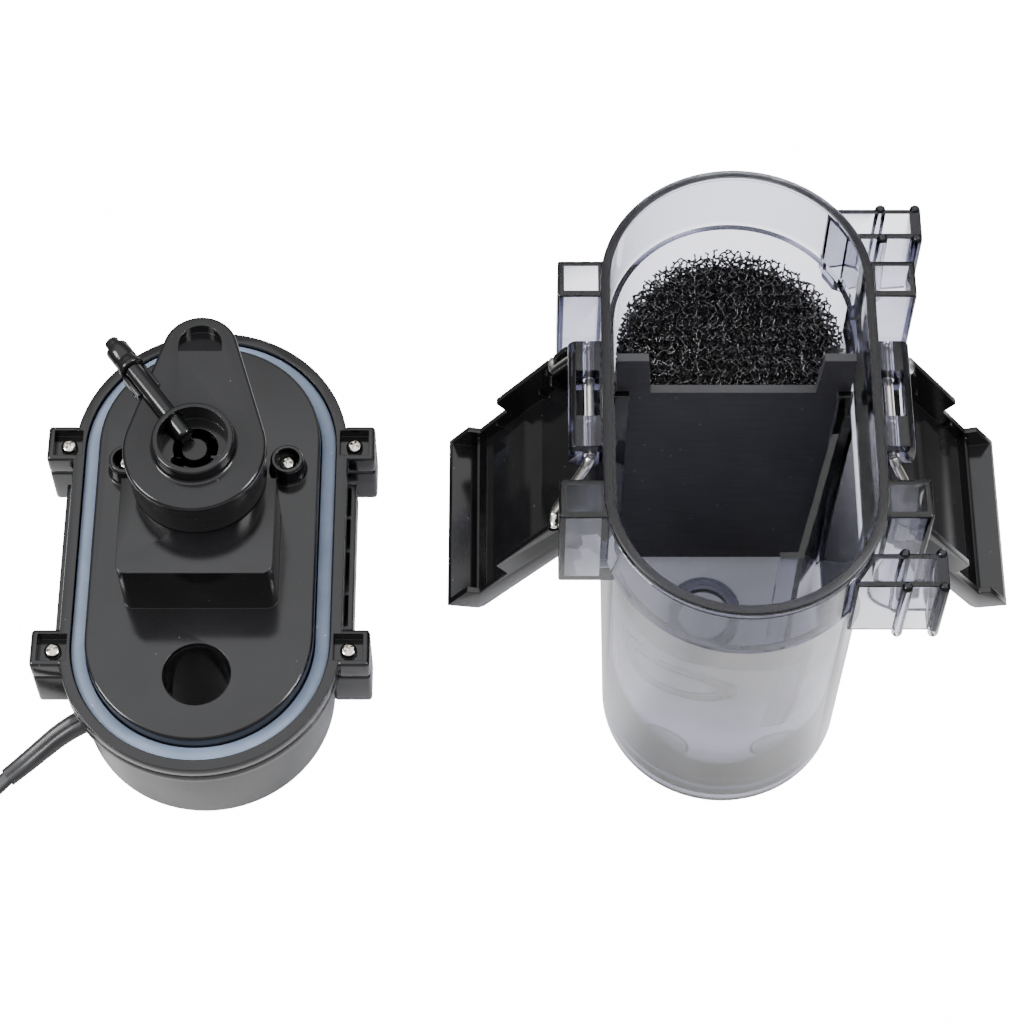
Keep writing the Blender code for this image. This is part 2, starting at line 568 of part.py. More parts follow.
def make_base_plate(parent):
    z0, z1 = PLATE_Z0, PLATE_Z1
    obj = stack("base_plate", [
        (PLATE_W - 0.5, PLATE_L - 0.5, z0), (PLATE_W, PLATE_L, z0 + 0.5),
        (PLATE_W, PLATE_L, z0 + 3.6), (PLATE_W - 0.6, PLATE_L - 0.6, z0 + 3.9),
        (PLATE_W - 0.6, PLATE_L - 0.6, z0 + 4.4), (PLATE_W, PLATE_L, z0 + 4.7),
        (PLATE_W, PLATE_L, z1 - 0.5), (PLATE_W - 0.5, PLATE_L - 0.5, z1)])
    for sx, sy in head_corners():
        obj = join(obj, head_lug(z0, z1, sx, sy, PLATE_W - 1.4))
    obj = join(obj, stack("deck", [(DECK_W, DECK_L, z1 - 4), (DECK_W, DECK_L, DECK_Z - 0.5),
                                   (DECK_W - 0.5, DECK_L - 0.5, DECK_Z)]))
    r, w = BLOCK_CORNER, BLOCK_W
    outline = [(w, BLOCK_Y1), (-w, BLOCK_Y1)] + arc(-w + r, BLOCK_Y0 + r, r, 180, 270, 6)
    outline += arc(w - r, BLOCK_Y0 + r, r, 270, 360, 6)
    block = round_edges(prism("block", [outline], DECK_Z - 5, BLOCK_TOP), BLOCK_EDGE, angle=60)
    tower = box("tower", (-TOWER_W, BLOCK_Y1 - 3, DECK_Z - 1), (TOWER_W, TOWER_Y1, BLOCK_TOP))
    obj = join(obj, block, tower)
    for sx in (-1, 1):
        obj = join(obj, rod("boss", (sx * BOSS_X, BOSS_Y, DECK_Z - 1), (sx * BOSS_X, BOSS_Y, BOSS_TOP), BOSS_R))
    channel = prism("channel", [stadium(SEAL_W + GAP, SEAL_L + GAP), stadium(DECK_W, DECK_L)],
                    SEAL_Z0 - GAP, z1 + 1)
    skin = PLATE_SKIN
    obj = cut(obj, channel,
              stack("under", [(DECK_W - skin, DECK_L - skin, z0 - 1), (DECK_W - skin, DECK_L - skin, DECK_Z - skin)]),
              box("block_room", (-BLOCK_W + skin, BLOCK_Y0 + skin, z0), (BLOCK_W - skin, BLOCK_Y1 - skin,
                                                                         BLOCK_TOP - skin)),
              box("tower_room", (-TOWER_W + skin, BLOCK_Y1 - 3.5, z0), (TOWER_W - skin, TOWER_Y1 - skin,
                                                                       BLOCK_TOP - skin)))
    obj = join(obj, rod("cup", (0, PUMP_Y, WELL_Z - 1.8), (0, PUMP_Y, BLOCK_TOP), WELL_CUP_R, steps=24))
    obj = cut(obj, rod("well", (0, PUMP_Y, WELL_Z), (0, PUMP_Y, BLOCK_TOP + 1), WELL_R, steps=24),
              rod("port", (0, PORT_Y, z0), (0, PORT_Y, DECK_Z + 1), PORT_R, steps=32),
              rod("outlet", (0, TIP_Y, z0), (0, TIP_Y, DECK_Z + 1), OUTLET_R, steps=24))
    for sx in (-1, 1):
        x = sx * BOSS_X
        obj = cut(obj, rod("recess", (x, BOSS_Y, BOSS_FLOOR_Z), (x, BOSS_Y, BOSS_TOP + 1), 4.1),
                  rod("hole", (x, BOSS_Y, z0), (x, BOSS_Y, BOSS_TOP), SHANK_HOLE_R, steps=12))
    for sx, sy in head_corners():
        x, y = screw_place(sx, sy)
        p = LUG_POCKET
        obj = cut(obj, box("pocket", (x - p, y - p, LUG_FLOOR_Z), (x + p, y + p, z1 + 1)),
                  rod("hole", (x, y, z0 - 1), (x, y, z1), SHANK_HOLE_R, steps=12))
    return finish(obj, "black_satin", parent)


def make_seal(parent):
    inner_w, inner_l = SEAL_W - SEAL_T, SEAL_L - SEAL_T
    obj = prism("seal_ring", [stadium(SEAL_W, SEAL_L), stadium(inner_w, inner_l)], SEAL_Z0, SEAL_Z1)
    finish(obj, "silicone", parent)


def screw(name, x, y, seat, tip):
    """Pan-head screw with a cross recess, its head upwards."""
    top = seat + SCREW_HEAD_H
    obj = rod(name, (x, y, seat), (x, y, top), SCREW_HEAD_R, SCREW_HEAD_R * 0.72, steps=18)
    obj = join(obj, rod("shank", (x, y, tip), (x, y, seat + 0.5), SHANK_R, steps=10))
    for w, l in ((0.45, 1.7), (1.7, 0.45)):
        obj = cut(obj, box("cross", (x - w, y - l, top - 1.1), (x + w, y + l, top + 1)))
    return obj


def make_screws(parent):
    for number, (sx, sy) in enumerate(head_corners(), 1):
        x, y = screw_place(sx, sy)
        finish(screw(f"corner_screw_{number}", x, y, LUG_FLOOR_Z + GAP, 27.0), "steel", parent)
    for number, sx in enumerate((-1, 1), 1):
        piece = screw(f"plate_screw_{number}", sx * BOSS_X, BOSS_Y, BOSS_FLOOR_Z + GAP, 37.0)
        finish(piece, "steel", parent)


def make_volute(parent):
    """Pump housing: a cup for the impeller and a column that carries water to the outlet."""
    obj = prism("volute_housing", [teardrop(0.8)], VOLUTE_Z0, VOLUTE_Z1)
    column = rod("column", (0, TIP_Y, DECK_Z + GAP), (0, TIP_Y, VOLUTE_Z1 - 1), TIP_R - 1.4, steps=22)
    leg = box("leg", (-7.0, TOWER_Y1 + GAP, DECK_Z + GAP), (7.0, TIP_Y - 6, VOLUTE_Z0 + 1))
    obj = join(obj, column, leg)
    obj = cut(obj, rod("chamber", (0, PUMP_Y, CHAMBER_Z), (0, PUMP_Y, VOLUTE_Z1 + 1), CHAMBER_R, steps=28),
              rod("eye", (0, PUMP_Y, VOLUTE_Z0 - 1), (0, PUMP_Y, CHAMBER_Z + 1), WELL_R + 0.2, steps=24),
              rod("riser", (0, TIP_Y, DECK_Z - 1), (0, TIP_Y, VOLUTE_Z1 + 1), OUTLET_R, steps=20),
              box("throat", (2.0, PUMP_Y + 12, CHAMBER_Z + 1), (11.5, TIP_Y - 9, VOLUTE_Z1 + 1)),
              box("throat_end", (-2.5, TIP_Y - 16, CHAMBER_Z + 1), (7.0, TIP_Y - 2, VOLUTE_Z1 + 1)))
    return finish(obj, "black_satin", parent)


def scoop_tool():
    """Arched finger pocket with a floor that falls towards the tip."""
    half = SCOOP_HALF
    arch = list(reversed(arc(0, SCOOP_LEN - half, half, 0, 180, 12)))
    tool = prism("scoop", [[(-half, -2.0)] + arch + [(half, -2.0)]], 0.0, 8.0)
    turn = Matrix.Rotation(math.radians(-SCOOP_SLOPE), 4, "X")
    tool.data.transform(Matrix.Translation((0, SCOOP_Y * MM, COVER_TOP * MM)) @ turn)
    return tool


def make_cover(parent):
    z0 = VOLUTE_Z1 + GAP
    obj = round_edges(prism("impeller_cover", [teardrop()], z0, COVER_TOP), 0.9, angle=60)
    obj = join(obj, rod("neck", (0, PUMP_Y, COVER_TOP - 1), (0, PUMP_Y, NECK_TOP), NECK_R, steps=32))
    tip, end = TUBE_TIP, TUBE_END
    out = math.atan2(end[1] - tip[1], end[0] - tip[0])
    sleeve = box("sleeve", (22.0, -4.3, z0 + GAP), (SLEEVE_END, 4.3, TUBE_Z - 0.2))
    sleeve.data.transform(Matrix.Translation((tip[0] * MM, tip[1] * MM, 0)) @ Matrix.Rotation(out, 4, "Z"))
    obj = join(obj, sleeve)
    obj = cut(obj, rod("neck_room", (0, PUMP_Y, NECK_FLOOR_Z), (0, PUMP_Y, NECK_TOP + 1), NECK_INNER_R, steps=32),
              rod("inlet", (0.4, PUMP_Y, z0 - 1), (0.4, PUMP_Y, NECK_TOP), INLET_R, steps=24),
              rod("lobe", (-4.6, PUMP_Y - 4.6, z0 - 1), (-4.6, PUMP_Y - 4.6, NECK_TOP), 2.6, steps=12),
              scoop_tool())
    arm = box("arm", (0.5, -1.8, z0), (9.0, 1.8, z0 + 2.2))
    arm.data.transform(Matrix.Translation((0, PUMP_Y * MM, 0)) @ Matrix.Rotation(out, 4, "Z"))
    obj = join(obj, arm, rod("bush_boss", (0, PUMP_Y, 82.4), (0, PUMP_Y, z0 + 2.2), 4.0, steps=20))
    start = (tip[0] - 1.5 * math.cos(out), tip[1] - 1.5 * math.sin(out), TUBE_Z)
    obj = cut(obj, rod("slot", start, (*end, TUBE_Z), TUBE_R + GAP, steps=16),
              rod("bush_room", (0, PUMP_Y, 81.0), (0, PUMP_Y, z0 + 1.2), 3.0, steps=18))
    return finish(obj, "black_gloss", parent)


def make_air_tube(parent):
    tip, end = Vector((*TUBE_TIP, TUBE_Z)), Vector((*TUBE_END, TUBE_Z))
    along = (end - tip).normalized()
    cap_at = end - along * CAP_LEN
    nose = ((0.0, 0.55), (0.5, 0.85), (1.3, 1.0))
    points = [tip + along * d for d, size in nose] + [cap_at - along * GAP]
    radii = [TUBE_R * size for d, size in nose] + [TUBE_R]
    finish(tube("air_tube", points, TUBE_R, radii, resolution=3), "black_satin", parent)
    steps = ((0.0, TUBE_CAP_R + 0.4), (1.7, TUBE_CAP_R + 0.4), (1.75, TUBE_CAP_R), (9.8, TUBE_CAP_R),
             (9.85, TUBE_NUB_R), (13.0, TUBE_NUB_R))
    points = [cap_at + along * d for d, radius in steps]
    cap = tube("air_tube_cap", points, TUBE_CAP_R, [radius for d, radius in steps], resolution=3)
    finish(cap, "black_satin", parent)


def make_motor(parent):
    y = PUMP_Y
    core = prism("stator_core", [[(-16.0, -20.0), (16.0, -20.0), (16.0, 19.0), (11.3, 19.0), (11.3, -12.0),
                                  (-11.3, -12.0), (-11.3, 19.0), (-16.0, 19.0)]], 54.0, 64.0)
    finish(core, "steel", parent)
    coil = box("stator_coil", (-10.8, -23.8, 50.9), (10.8, -8.2, 67.1))
    coil = cut(round_edges(coil, 1.5), box("eye", (-12, -20.4, 53.6), (12, -11.6, 64.4)))
    finish(coil, "copper", parent)
    finish(box("potting_resin", (-22.4, -24.0, 47.9), (22.4, -3.0, 50.4)), "resin", parent)
    finish(ring("rotor_magnet", 0, y, 7.7, SHAFT_HOLE_R, 51.2, 72.0), "magnet", parent)
    impeller = ring("impeller", 0, y, 4.0, SHAFT_HOLE_R, 72.4, 80.4, steps=20)
    disc = ring("disc", 0, y, 15.4, 3.2, 77.4, 78.4, steps=24)
    impeller = join(impeller, disc)
    for k in range(6):
        blade = box("blade", (4.7, -0.5, 78.0), (15.0, 0.5, 84.6))
        blade.data.transform(Matrix.Translation((0, y * MM, 0)) @ Matrix.Rotation(math.radians(60 * k), 4, "Z"))
        impeller = join(impeller, blade)
    finish(impeller, "black_satin", parent)
    finish(rod("impeller_shaft", (0, y, WELL_Z + GAP), (0, y, 88.2), SHAFT_R, steps=14), "ceramic", parent)
    finish(ring("lower_bush", 0, y, 3.6, SHAFT_HOLE_R, WELL_Z + GAP, 50.2, steps=18), "pads", parent)
    finish(ring("upper_bush", 0, y, 2.7, SHAFT_HOLE_R, 82.7, 87.6, steps=16), "pads", parent)


def make_ports(parent):
    """Water sockets through the head: they open flush in the casing and meet the plate."""
    top = DECK_Z - PLATE_SKIN - GAP
    finish(ring("inlet_socket", 0, PORT_Y, PORT_R + 2, PORT_R, 0.4, top, steps=32), "black_satin", parent)
    finish(ring("outlet_socket", 0, TIP_Y, OUTLET_R + 2, OUTLET_R, 0.4, top, steps=24), "black_satin", parent)


# ---------------------------------------------------------------- mains lead

def make_cord(parent):
    relief = smooth_route(RELIEF, 4.0)
    last = len(relief) - 1
    radii = [RELIEF_R0 + (RELIEF_R1 - RELIEF_R0) * k / last for k in range(last + 1)]
    finish(tube("cord_relief", relief, RELIEF_R0, radii), "cord", parent)
    finish(tube("cord", smooth_route(CORD_ROUTE, 6.0), CORD_R), "cord", parent)
    finish(ring("cord_coil", COIL_X, COIL_Y, COIL_R + COIL_HALF, COIL_R - COIL_HALF, COIL_Z0, COIL_Z1, steps=36),
           "cord", parent)
    finish(tube("cord_tail", smooth_route(TAIL_ROUTE, 5.0), CORD_R), "cord", parent)


def make_tie(parent):
    room = COIL_HALF + GAP
    low, high = COIL_Z0 - GAP, COIL_Z1 + GAP
    r0, r1 = COIL_R - room, COIL_R + room
    tie = box("cord_tie", (r0 - TIE_T, -TIE_W / 2, low - TIE_T), (r1 + TIE_T, TIE_W / 2, high + TIE_T))
    tie = cut(tie, box("room", (r0, -TIE_W, low), (r1, TIE_W, high)))
    turn = Matrix.Rotation(math.radians(TIE_ANGLE), 4, "Z")
    tie.data.transform(Matrix.Translation((COIL_X * MM, COIL_Y * MM, 0)) @ turn)
    finish(tie, "black_satin", parent)


def make_plug(parent):
    """Two-pin mains plug lying flat, its cord end towards the coil."""
    centre = empty("plug_place", PLUG_X, parent, y=PLUG_Y)
    centre.rotation_euler = (0, 0, math.radians(PLUG_ANGLE))
    half = PLUG_LEN / 2
    outline = [(half, -PLUG_W / 2), (half, PLUG_W / 2), (-half + 12, PLUG_W / 2), (-half, 5.0), (-half, -5.0),
               (-half + 12, -PLUG_W / 2)]
    body = round_edges(prism("plug_body", [outline], 0.0, PLUG_H), 2.0, angle=25)
    for sy in (-1, 1):
        middle, room = PIN_SPACING / 2, PIN_T / 2 + GAP
        y0, y1 = sorted((sy * (middle - room), sy * (middle + room)))
        body = cut(body, box("seat", (half - 3, y0, PLUG_H / 2 - 3.6), (half + 1, y1, PLUG_H / 2 + 3.6)))
    finish(body, "cord", centre)
    for number, sy in enumerate((-1, 1), 1):
        y = sy * PIN_SPACING / 2
        pin = box(f"plug_pin_{number}", (half - 2.7, y - PIN_T / 2, (PLUG_H - PIN_W) / 2),
                  (half + PIN_LEN, y + PIN_T / 2, (PLUG_H + PIN_W) / 2))
        finish(pin, "brass", centre)


def main():
    canister = empty("canister_place", CAN_X)
    head = empty("head_place", HEAD_X)
    make_canister(canister)
    make_feet(canister)
    make_divider(canister)
    make_foam(canister)
    make_duct(canister)
    make_latch("left", -1, canister)
    make_latch("right", 1, canister)
    make_head_casing(head)
    make_base_plate(head)
    make_seal(head)
    make_screws(head)
    make_volute(head)
    make_cover(head)
    make_air_tube(head)
    make_motor(head)
    make_ports(head)
    make_cord(head)
    make_tie(head)
    make_plug(head)


clear_scene()
PARTS = bpy.data.collections.new("internal power filter")
bpy.context.scene.collection.children.link(PARTS)
MADE = {name: make_material(name) for name in MATERIALS}
main()
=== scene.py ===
import itertools
import math

import bmesh
import bpy
import numpy as np
from mathutils import Matrix, Vector


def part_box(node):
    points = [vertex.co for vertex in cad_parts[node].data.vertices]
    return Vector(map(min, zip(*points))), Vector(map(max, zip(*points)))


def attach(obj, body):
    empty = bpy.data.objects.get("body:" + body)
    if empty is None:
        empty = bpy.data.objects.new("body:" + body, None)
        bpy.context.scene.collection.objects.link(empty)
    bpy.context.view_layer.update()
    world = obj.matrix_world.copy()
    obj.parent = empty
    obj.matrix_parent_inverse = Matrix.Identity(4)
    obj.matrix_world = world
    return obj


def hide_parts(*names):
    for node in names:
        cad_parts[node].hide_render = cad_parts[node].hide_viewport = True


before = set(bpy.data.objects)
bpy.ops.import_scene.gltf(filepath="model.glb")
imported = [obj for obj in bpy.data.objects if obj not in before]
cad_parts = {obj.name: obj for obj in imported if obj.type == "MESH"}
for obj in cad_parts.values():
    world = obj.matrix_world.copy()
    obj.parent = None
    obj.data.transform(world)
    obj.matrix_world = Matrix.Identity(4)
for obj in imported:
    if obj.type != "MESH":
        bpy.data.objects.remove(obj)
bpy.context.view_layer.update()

# Looks for the small canister filter, opened for cleaning. Sizes are millimetres, as in the CAD.
MM = 0.001
GAP = 0.3


def middle_x(name):
    """Middle of a CAD node in x: the head and the canister are each built about their own middle."""
    low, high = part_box(name)
    return round((low[0] + high[0]) / 2 / MM, 3)


HEAD_X = middle_x("base_plate")
CAN_X = middle_x("foam_block")


# ---------------- camera, floor and light

# Metres and radians here. The camera stands in front and looks down on the bench.
CAMERA_AT, CAMERA_DOWN, LENS = (0.0, -0.4660, 0.9059), 1.0643, 104.39
LAMPS = (("left", (-1.15, -0.25, 0.95), (0.6, 0.5), 26.0), ("right", (1.1, -0.15, 1.1), (0.5, 0.5), 28.0))
LAMP_TARGET = (0.0, 0.0, 0.05)
FLOOR_SIZE = 3.0
CAMERA_WHITE = 16.0
OPEN_GLOW, UNDER_GLOW = 1.4, 0.22


def make_camera():
    data = bpy.data.cameras.new("camera")
    data.lens = LENS
    data.sensor_width = 36.0
    data.clip_start = 0.05
    obj = bpy.data.objects.new("camera", data)
    obj.location = CAMERA_AT
    obj.rotation_euler = (math.pi / 2 - CAMERA_DOWN, 0.0, 0.0)
    bpy.context.scene.collection.objects.link(obj)
    bpy.context.scene.camera = obj


def put(value, socket):
    if isinstance(value, bpy.types.NodeSocket):
        socket.id_data.links.new(value, socket)
    else:
        socket.default_value = value


def node(nt, kind, inputs=None, **settings):
    made = nt.nodes.new(kind)
    for key, value in settings.items():
        setattr(made, key, value)
    for key, value in (inputs or {}).items():
        put(value, made.inputs[key])
    return made


def feed(shader, **sockets):
    """Puts values or links into a shader's inputs, an underscore standing for a space in their names."""
    for name, value in sockets.items():
        put(value, shader.inputs[name.replace("_", " ")])


def maths(nt, operation, *values):
    return node(nt, "ShaderNodeMath", dict(enumerate(values)), operation=operation).outputs[0]


def area_light(name, place, size, power):
    data = bpy.data.lights.new(name, "AREA")
    data.shape = "RECTANGLE"
    data.size, data.size_y = size
    data.energy = power
    obj = bpy.data.objects.new(name, data)
    obj.location = place
    obj.rotation_euler = (Vector(LAMP_TARGET) - Vector(place)).to_track_quat("-Z", "Y").to_euler()
    bpy.context.scene.collection.objects.link(obj)


def make_world():
    """Soft grey room with a brighter ceiling."""
    world = bpy.data.worlds.new("studio")
    bpy.context.scene.world = world
    world.use_nodes = True
    nt = world.node_tree
    sky = node(nt, "ShaderNodeSeparateXYZ", {"Vector": node(nt, "ShaderNodeTexCoord").outputs["Generated"]})
    background = nt.nodes["Background"]
    feed(background, Color=(0.98, 0.985, 1.0, 1.0))
    feed(background, Strength=ramp(nt, sky.outputs["Z"], 0.55, 0.86, 0.45, 2.2))


def make_paper():
    """Plain white to the camera. Gloss sees it dark behind and far out, and clear walls see it glow."""
    mat, nt, shader = start_material("paper")
    spot = node(nt, "ShaderNodeSeparateXYZ", {"Vector": object_place(nt)})
    x, y = spot.outputs["X"], spot.outputs["Y"]
    path = node(nt, "ShaderNodeLightPath")
    through = path.outputs["Is Transmission Ray"]
    from_canister = maths(nt, "ABSOLUTE", maths(nt, "SUBTRACT", x, 0.072))

    # Painted shade: the floor's colour is dark behind, far out to the sides and partly close in front, so
    # gloss reflects shade there.
    in_front = ramp(nt, y, 0.11, 0.03)
    in_column = ramp(nt, from_canister, 0.15, 0.08)
    not_far = ramp(nt, maths(nt, "ABSOLUTE", x), 0.34, 0.22)
    not_near = ramp(nt, y, -0.10, -0.05, 0.42, 1.0)
    lit = maths(nt, "MULTIPLY", maths(nt, "MAXIMUM", in_front, in_column), not_far)
    lit = maths(nt, "MULTIPLY", maths(nt, "MAXIMUM", lit, through), not_near)
    feed(shader, Base_Color=mix_colour(nt, lit, (0.05, 0.05, 0.05), (0.93, 0.93, 0.93)))

    # Painted light: the floor glows to clear walls, brightly in the open and faintly under the canister.
    in_open = maths(nt, "MAXIMUM", ramp(nt, y, 0.085, 0.12), ramp(nt, from_canister, 0.048, 0.07))
    under = maths(nt, "MULTIPLY", through, UNDER_GLOW)
    glow = maths(nt, "MULTIPLY_ADD", maths(nt, "MULTIPLY", in_open, through), OPEN_GLOW, under)
    feed(shader, Emission_Strength=glow, Emission_Color=(1.0, 1.0, 1.0, 1.0), Roughness=0.9)
    feed(shader, Specular_IOR_Level=0.1)
    white = node(nt, "ShaderNodeEmission", {"Color": (1.0, 1.0, 1.0, 1.0), "Strength": CAMERA_WHITE})
    mix_shader(nt, path.outputs["Is Camera Ray"], shader, white)
    return mat


def make_stage():
    make_world()
    bm = bmesh.new()
    bmesh.ops.create_grid(bm, x_segments=1, y_segments=1, size=FLOOR_SIZE)
    floor = from_bmesh("floor", bm)
    floor.data.materials.append(make_paper())
    for name, place, size, power in LAMPS:
        area_light(name, place, size, power)


# ---------------- materials

def start_material(name):
    mat = bpy.data.materials.new(name)
    mat.use_nodes = True
    nt = mat.node_tree
    return mat, nt, nt.nodes["Principled BSDF"]


def noise(nt, where, scale, detail):
    inputs = {"Vector": where, "Scale": scale, "Detail": detail, "Roughness": 0.55}
    return node(nt, "ShaderNodeTexNoise", inputs).outputs["Fac"]


def object_place(nt):
    return node(nt, "ShaderNodeTexCoord").outputs["Object"]


def stretch(nt, where, scale, turn=(0.0, 0.0, 0.0)):
    return node(nt, "ShaderNodeMapping", {"Vector": where, "Rotation": turn, "Scale": scale}).outputs[0]


def add_bump(nt, shader, height, strength, distance, normal=None):
    inputs = {"Strength": strength, "Distance": distance, "Height": height}
    if normal:
        inputs["Normal"] = normal
    feed(shader, Normal=node(nt, "ShaderNodeBump", inputs).outputs[0])


def ramp(nt, value, low, high, to_low=0.0, to_high=1.0):
    inputs = {"Value": value, "From Min": low, "From Max": high, "To Min": to_low, "To Max": to_high}
    return node(nt, "ShaderNodeMapRange", inputs).outputs["Result"]


def mix_colour(nt, factor, first, second):
    """Each colour is a socket or three numbers."""
    sides = [c if isinstance(c, bpy.types.NodeSocket) else (*c, 1.0) for c in (first, second)]
    return node(nt, "ShaderNodeMix", {0: factor, 6: sides[0], 7: sides[1]}, data_type="RGBA").outputs[2]


def mix_shader(nt, factor, first, second):
    """Into the material's output: the first shader, or the second where the factor is 1."""
    both = node(nt, "ShaderNodeMixShader", {0: factor, 1: first.outputs[0], 2: second.outputs[0]})
    feed(nt.nodes["Material Output"], Surface=both.outputs[0])


def specks(nt, where, scale, share, size, strength):
    """Sparse dust: strength on small dots in a share of the cells, and 0 elsewhere."""
    cells = node(nt, "ShaderNodeTexVoronoi", {"Vector": where, "Scale": scale, "Randomness": 1.0})
    dot = ramp(nt, cells.outputs["Distance"], size, size * 0.5)
    split = node(nt, "ShaderNodeSeparateColor", {"Color": cells.outputs["Color"]})
    chosen = ramp(nt, split.outputs["Red"], 1.0 - share, 1.0 - share + 0.01)
    return maths(nt, "MULTIPLY", maths(nt, "MULTIPLY", dot, chosen), strength)


def plastic(name, colour, rough, grain=0.02, dust=0.25, edge=0.35, shade=1.35, ior=1.5):
    """Moulded plastic: slight mottling, fine skin texture, handling marks, dust and soft edges."""
    mat, nt, shader = start_material(name)
    where = object_place(nt)
    broad = noise(nt, where, 45.0, 3.0)
    fine = noise(nt, where, 2600.0, 2.0)
    scratches = noise(nt, stretch(nt, where, (30.0, 900.0, 300.0), (0.3, 0.2, 0.7)), 1.0, 2.0)
    rubs = ramp(nt, scratches, 0.68, 0.78)
    dark, pale = [c * 0.75 for c in colour], [c * shade for c in colour]
    base = mix_colour(nt, ramp(nt, broad, 0.35, 0.65), dark, pale)
    if dust:
        base = mix_colour(nt, specks(nt, where, 420.0, 0.05, 0.14, dust), base, (0.3, 0.3, 0.31))
    feed(shader, Base_Color=base)
    roughness = ramp(nt, broad, 0.3, 0.7, rough * 0.85, rough * 1.18)
    feed(shader, Roughness=maths(nt, "MULTIPLY_ADD", rubs, 0.09, roughness))
    soft = node(nt, "ShaderNodeBevel", {"Radius": edge * MM}, samples=4)
    add_bump(nt, shader, fine, grain * 10, 0.00004, soft.outputs[0])
    feed(shader, IOR=ior)
    return mat


def metal(name, colour, rough, brushed=0.0):
    """Bright metal with a slightly cloudy colour and fine drawn lines."""
    mat, nt, shader = start_material(name)
    where = object_place(nt)
    cloud = noise(nt, where, 300.0, 3.0)
    fine = noise(nt, stretch(nt, where, (900.0, 120.0, 900.0)), 2.0, 2.0)
    feed(shader, Base_Color=mix_colour(nt, cloud, [c * 0.86 for c in colour], colour))
    feed(shader, Roughness=ramp(nt, fine, 0.3, 0.7, rough * 0.8, rough * 1.3))
    add_bump(nt, shader, fine, 0.15 + brushed, 0.00002)
    feed(shader, Metallic=1.0)
    return mat


def clear_plastic(name, rough=0.035):
    """Clear smoky plastic: walls refract and darken with thickness, lamps pass, and the rim's top is matt."""
    mat, nt, shader = start_material(name)
    where = object_place(nt)
    feed(shader, Base_Color=(0.975, 0.975, 1.0, 1.0), Transmission_Weight=1.0, IOR=1.46)
    height = node(nt, "ShaderNodeSeparateXYZ", {"Vector": where}).outputs["Z"]
    worn = ramp(nt, height, (CAN_TOP - 0.8) * MM, (CAN_TOP - 0.3) * MM, 0.0, 0.38)
    polished = ramp(nt, noise(nt, where, 60.0, 3.0), 0.3, 0.75, rough * 0.6, rough * 1.6)
    feed(shader, Roughness=maths(nt, "MAXIMUM", polished, worn))
    add_bump(nt, shader, noise(nt, where, 1500.0, 2.0), 0.06, 0.00003)
    pane = node(nt, "ShaderNodeBsdfTransparent", {"Color": (0.82, 0.825, 0.84, 1.0)})
    mix_shader(nt, node(nt, "ShaderNodeLightPath").outputs["Is Shadow Ray"], shader, pane)
    smoke = node(nt, "ShaderNodeVolumeAbsorption", {"Color": (0.50, 0.502, 0.585, 1.0), "Density": 370.0})
    feed(nt.nodes["Material Output"], Volume=smoke.outputs[0])
    return mat


def sheet_plastic(name):
    """Matt charcoal sheet with paler cut edges and fine lengthwise marks."""
    mat, nt, shader = start_material(name)
    coords = node(nt, "ShaderNodeTexCoord")
    where = coords.outputs["Object"]
    streak = noise(nt, stretch(nt, where, (60.0, 60.0, 1500.0)), 1.0, 3.0)
    facing = node(nt, "ShaderNodeSeparateXYZ", {"Vector": coords.outputs["Normal"]})
    flat = ramp(nt, maths(nt, "ABSOLUTE", facing.outputs["Y"]), 0.4, 0.6)
    face = mix_colour(nt, streak, (0.006, 0.006, 0.0075), (0.012, 0.012, 0.014))
    face = mix_colour(nt, specks(nt, where, 350.0, 0.12, 0.14, 0.3), face, (0.3, 0.3, 0.3))
    feed(shader, Base_Color=mix_colour(nt, flat, (0.022, 0.022, 0.024), face))
    feed(shader, Roughness=ramp(nt, streak, 0.3, 0.7, 0.5, 0.62))
    add_bump(nt, shader, streak, 0.3, 0.00004)
    return mat


def silicone_rubber(name):
    """Soft blue-grey seal rubber, a little dusty."""
    mat, nt, shader = start_material(name)
    where = object_place(nt)
    broad = noise(nt, where, 70.0, 4.0)
    base = mix_colour(nt, ramp(nt, broad, 0.3, 0.7), (0.13, 0.172, 0.245), (0.177, 0.217, 0.298))
    base = mix_colour(nt, specks(nt, where, 380.0, 0.15, 0.16, 0.5), base, (0.6, 0.62, 0.64))
    feed(shader, Base_Color=base, Roughness=ramp(nt, broad, 0.3, 0.7, 0.38, 0.52), Subsurface_Weight=0.2)
    feed(shader, Subsurface_Radius=(0.0015, 0.0018, 0.002), Subsurface_Scale=1.0)
    add_bump(nt, shader, noise(nt, where, 1800.0, 3.0), 0.35, 0.00005)
    return mat


def winding(name):
    """Enamelled copper wire, wound in level turns, with painted shade darkening the grooves between turns."""
    mat, nt, shader = start_material(name)
    wave = node(nt, "ShaderNodeTexWave", {"Vector": object_place(nt), "Scale": 900.0, "Distortion": 1.5},
                bands_direction="Z").outputs["Fac"]
    # Painted shade: where the wave dips, in the grooves between turns, the copper colour is darker.
    feed(shader, Base_Color=mix_colour(nt, wave, (0.22, 0.07, 0.03), (0.75, 0.34, 0.17)), Metallic=0.9)
    feed(shader, Roughness=0.35)
    add_bump(nt, shader, wave, 0.8, 0.0002)
    return mat


# Painted shade for the foam's depth: the core's pores are near black and its cell walls paler.
def foam_core_material(name):
    mat, nt, shader = start_material(name)
    cells = node(nt, "ShaderNodeTexVoronoi", {"Vector": object_place(nt), "Scale": 520.0},
                 feature="DISTANCE_TO_EDGE")
    walls = ramp(nt, cells.outputs["Distance"], 0.02, 0.16, 1.0, 0.0)
    feed(shader, Base_Color=mix_colour(nt, walls, (0.002, 0.002, 0.002), (0.014, 0.014, 0.015)))
    feed(shader, Roughness=0.8)
    add_bump(nt, shader, walls, 0.9, 0.0006)
    return mat


# ---------------- mesh tools

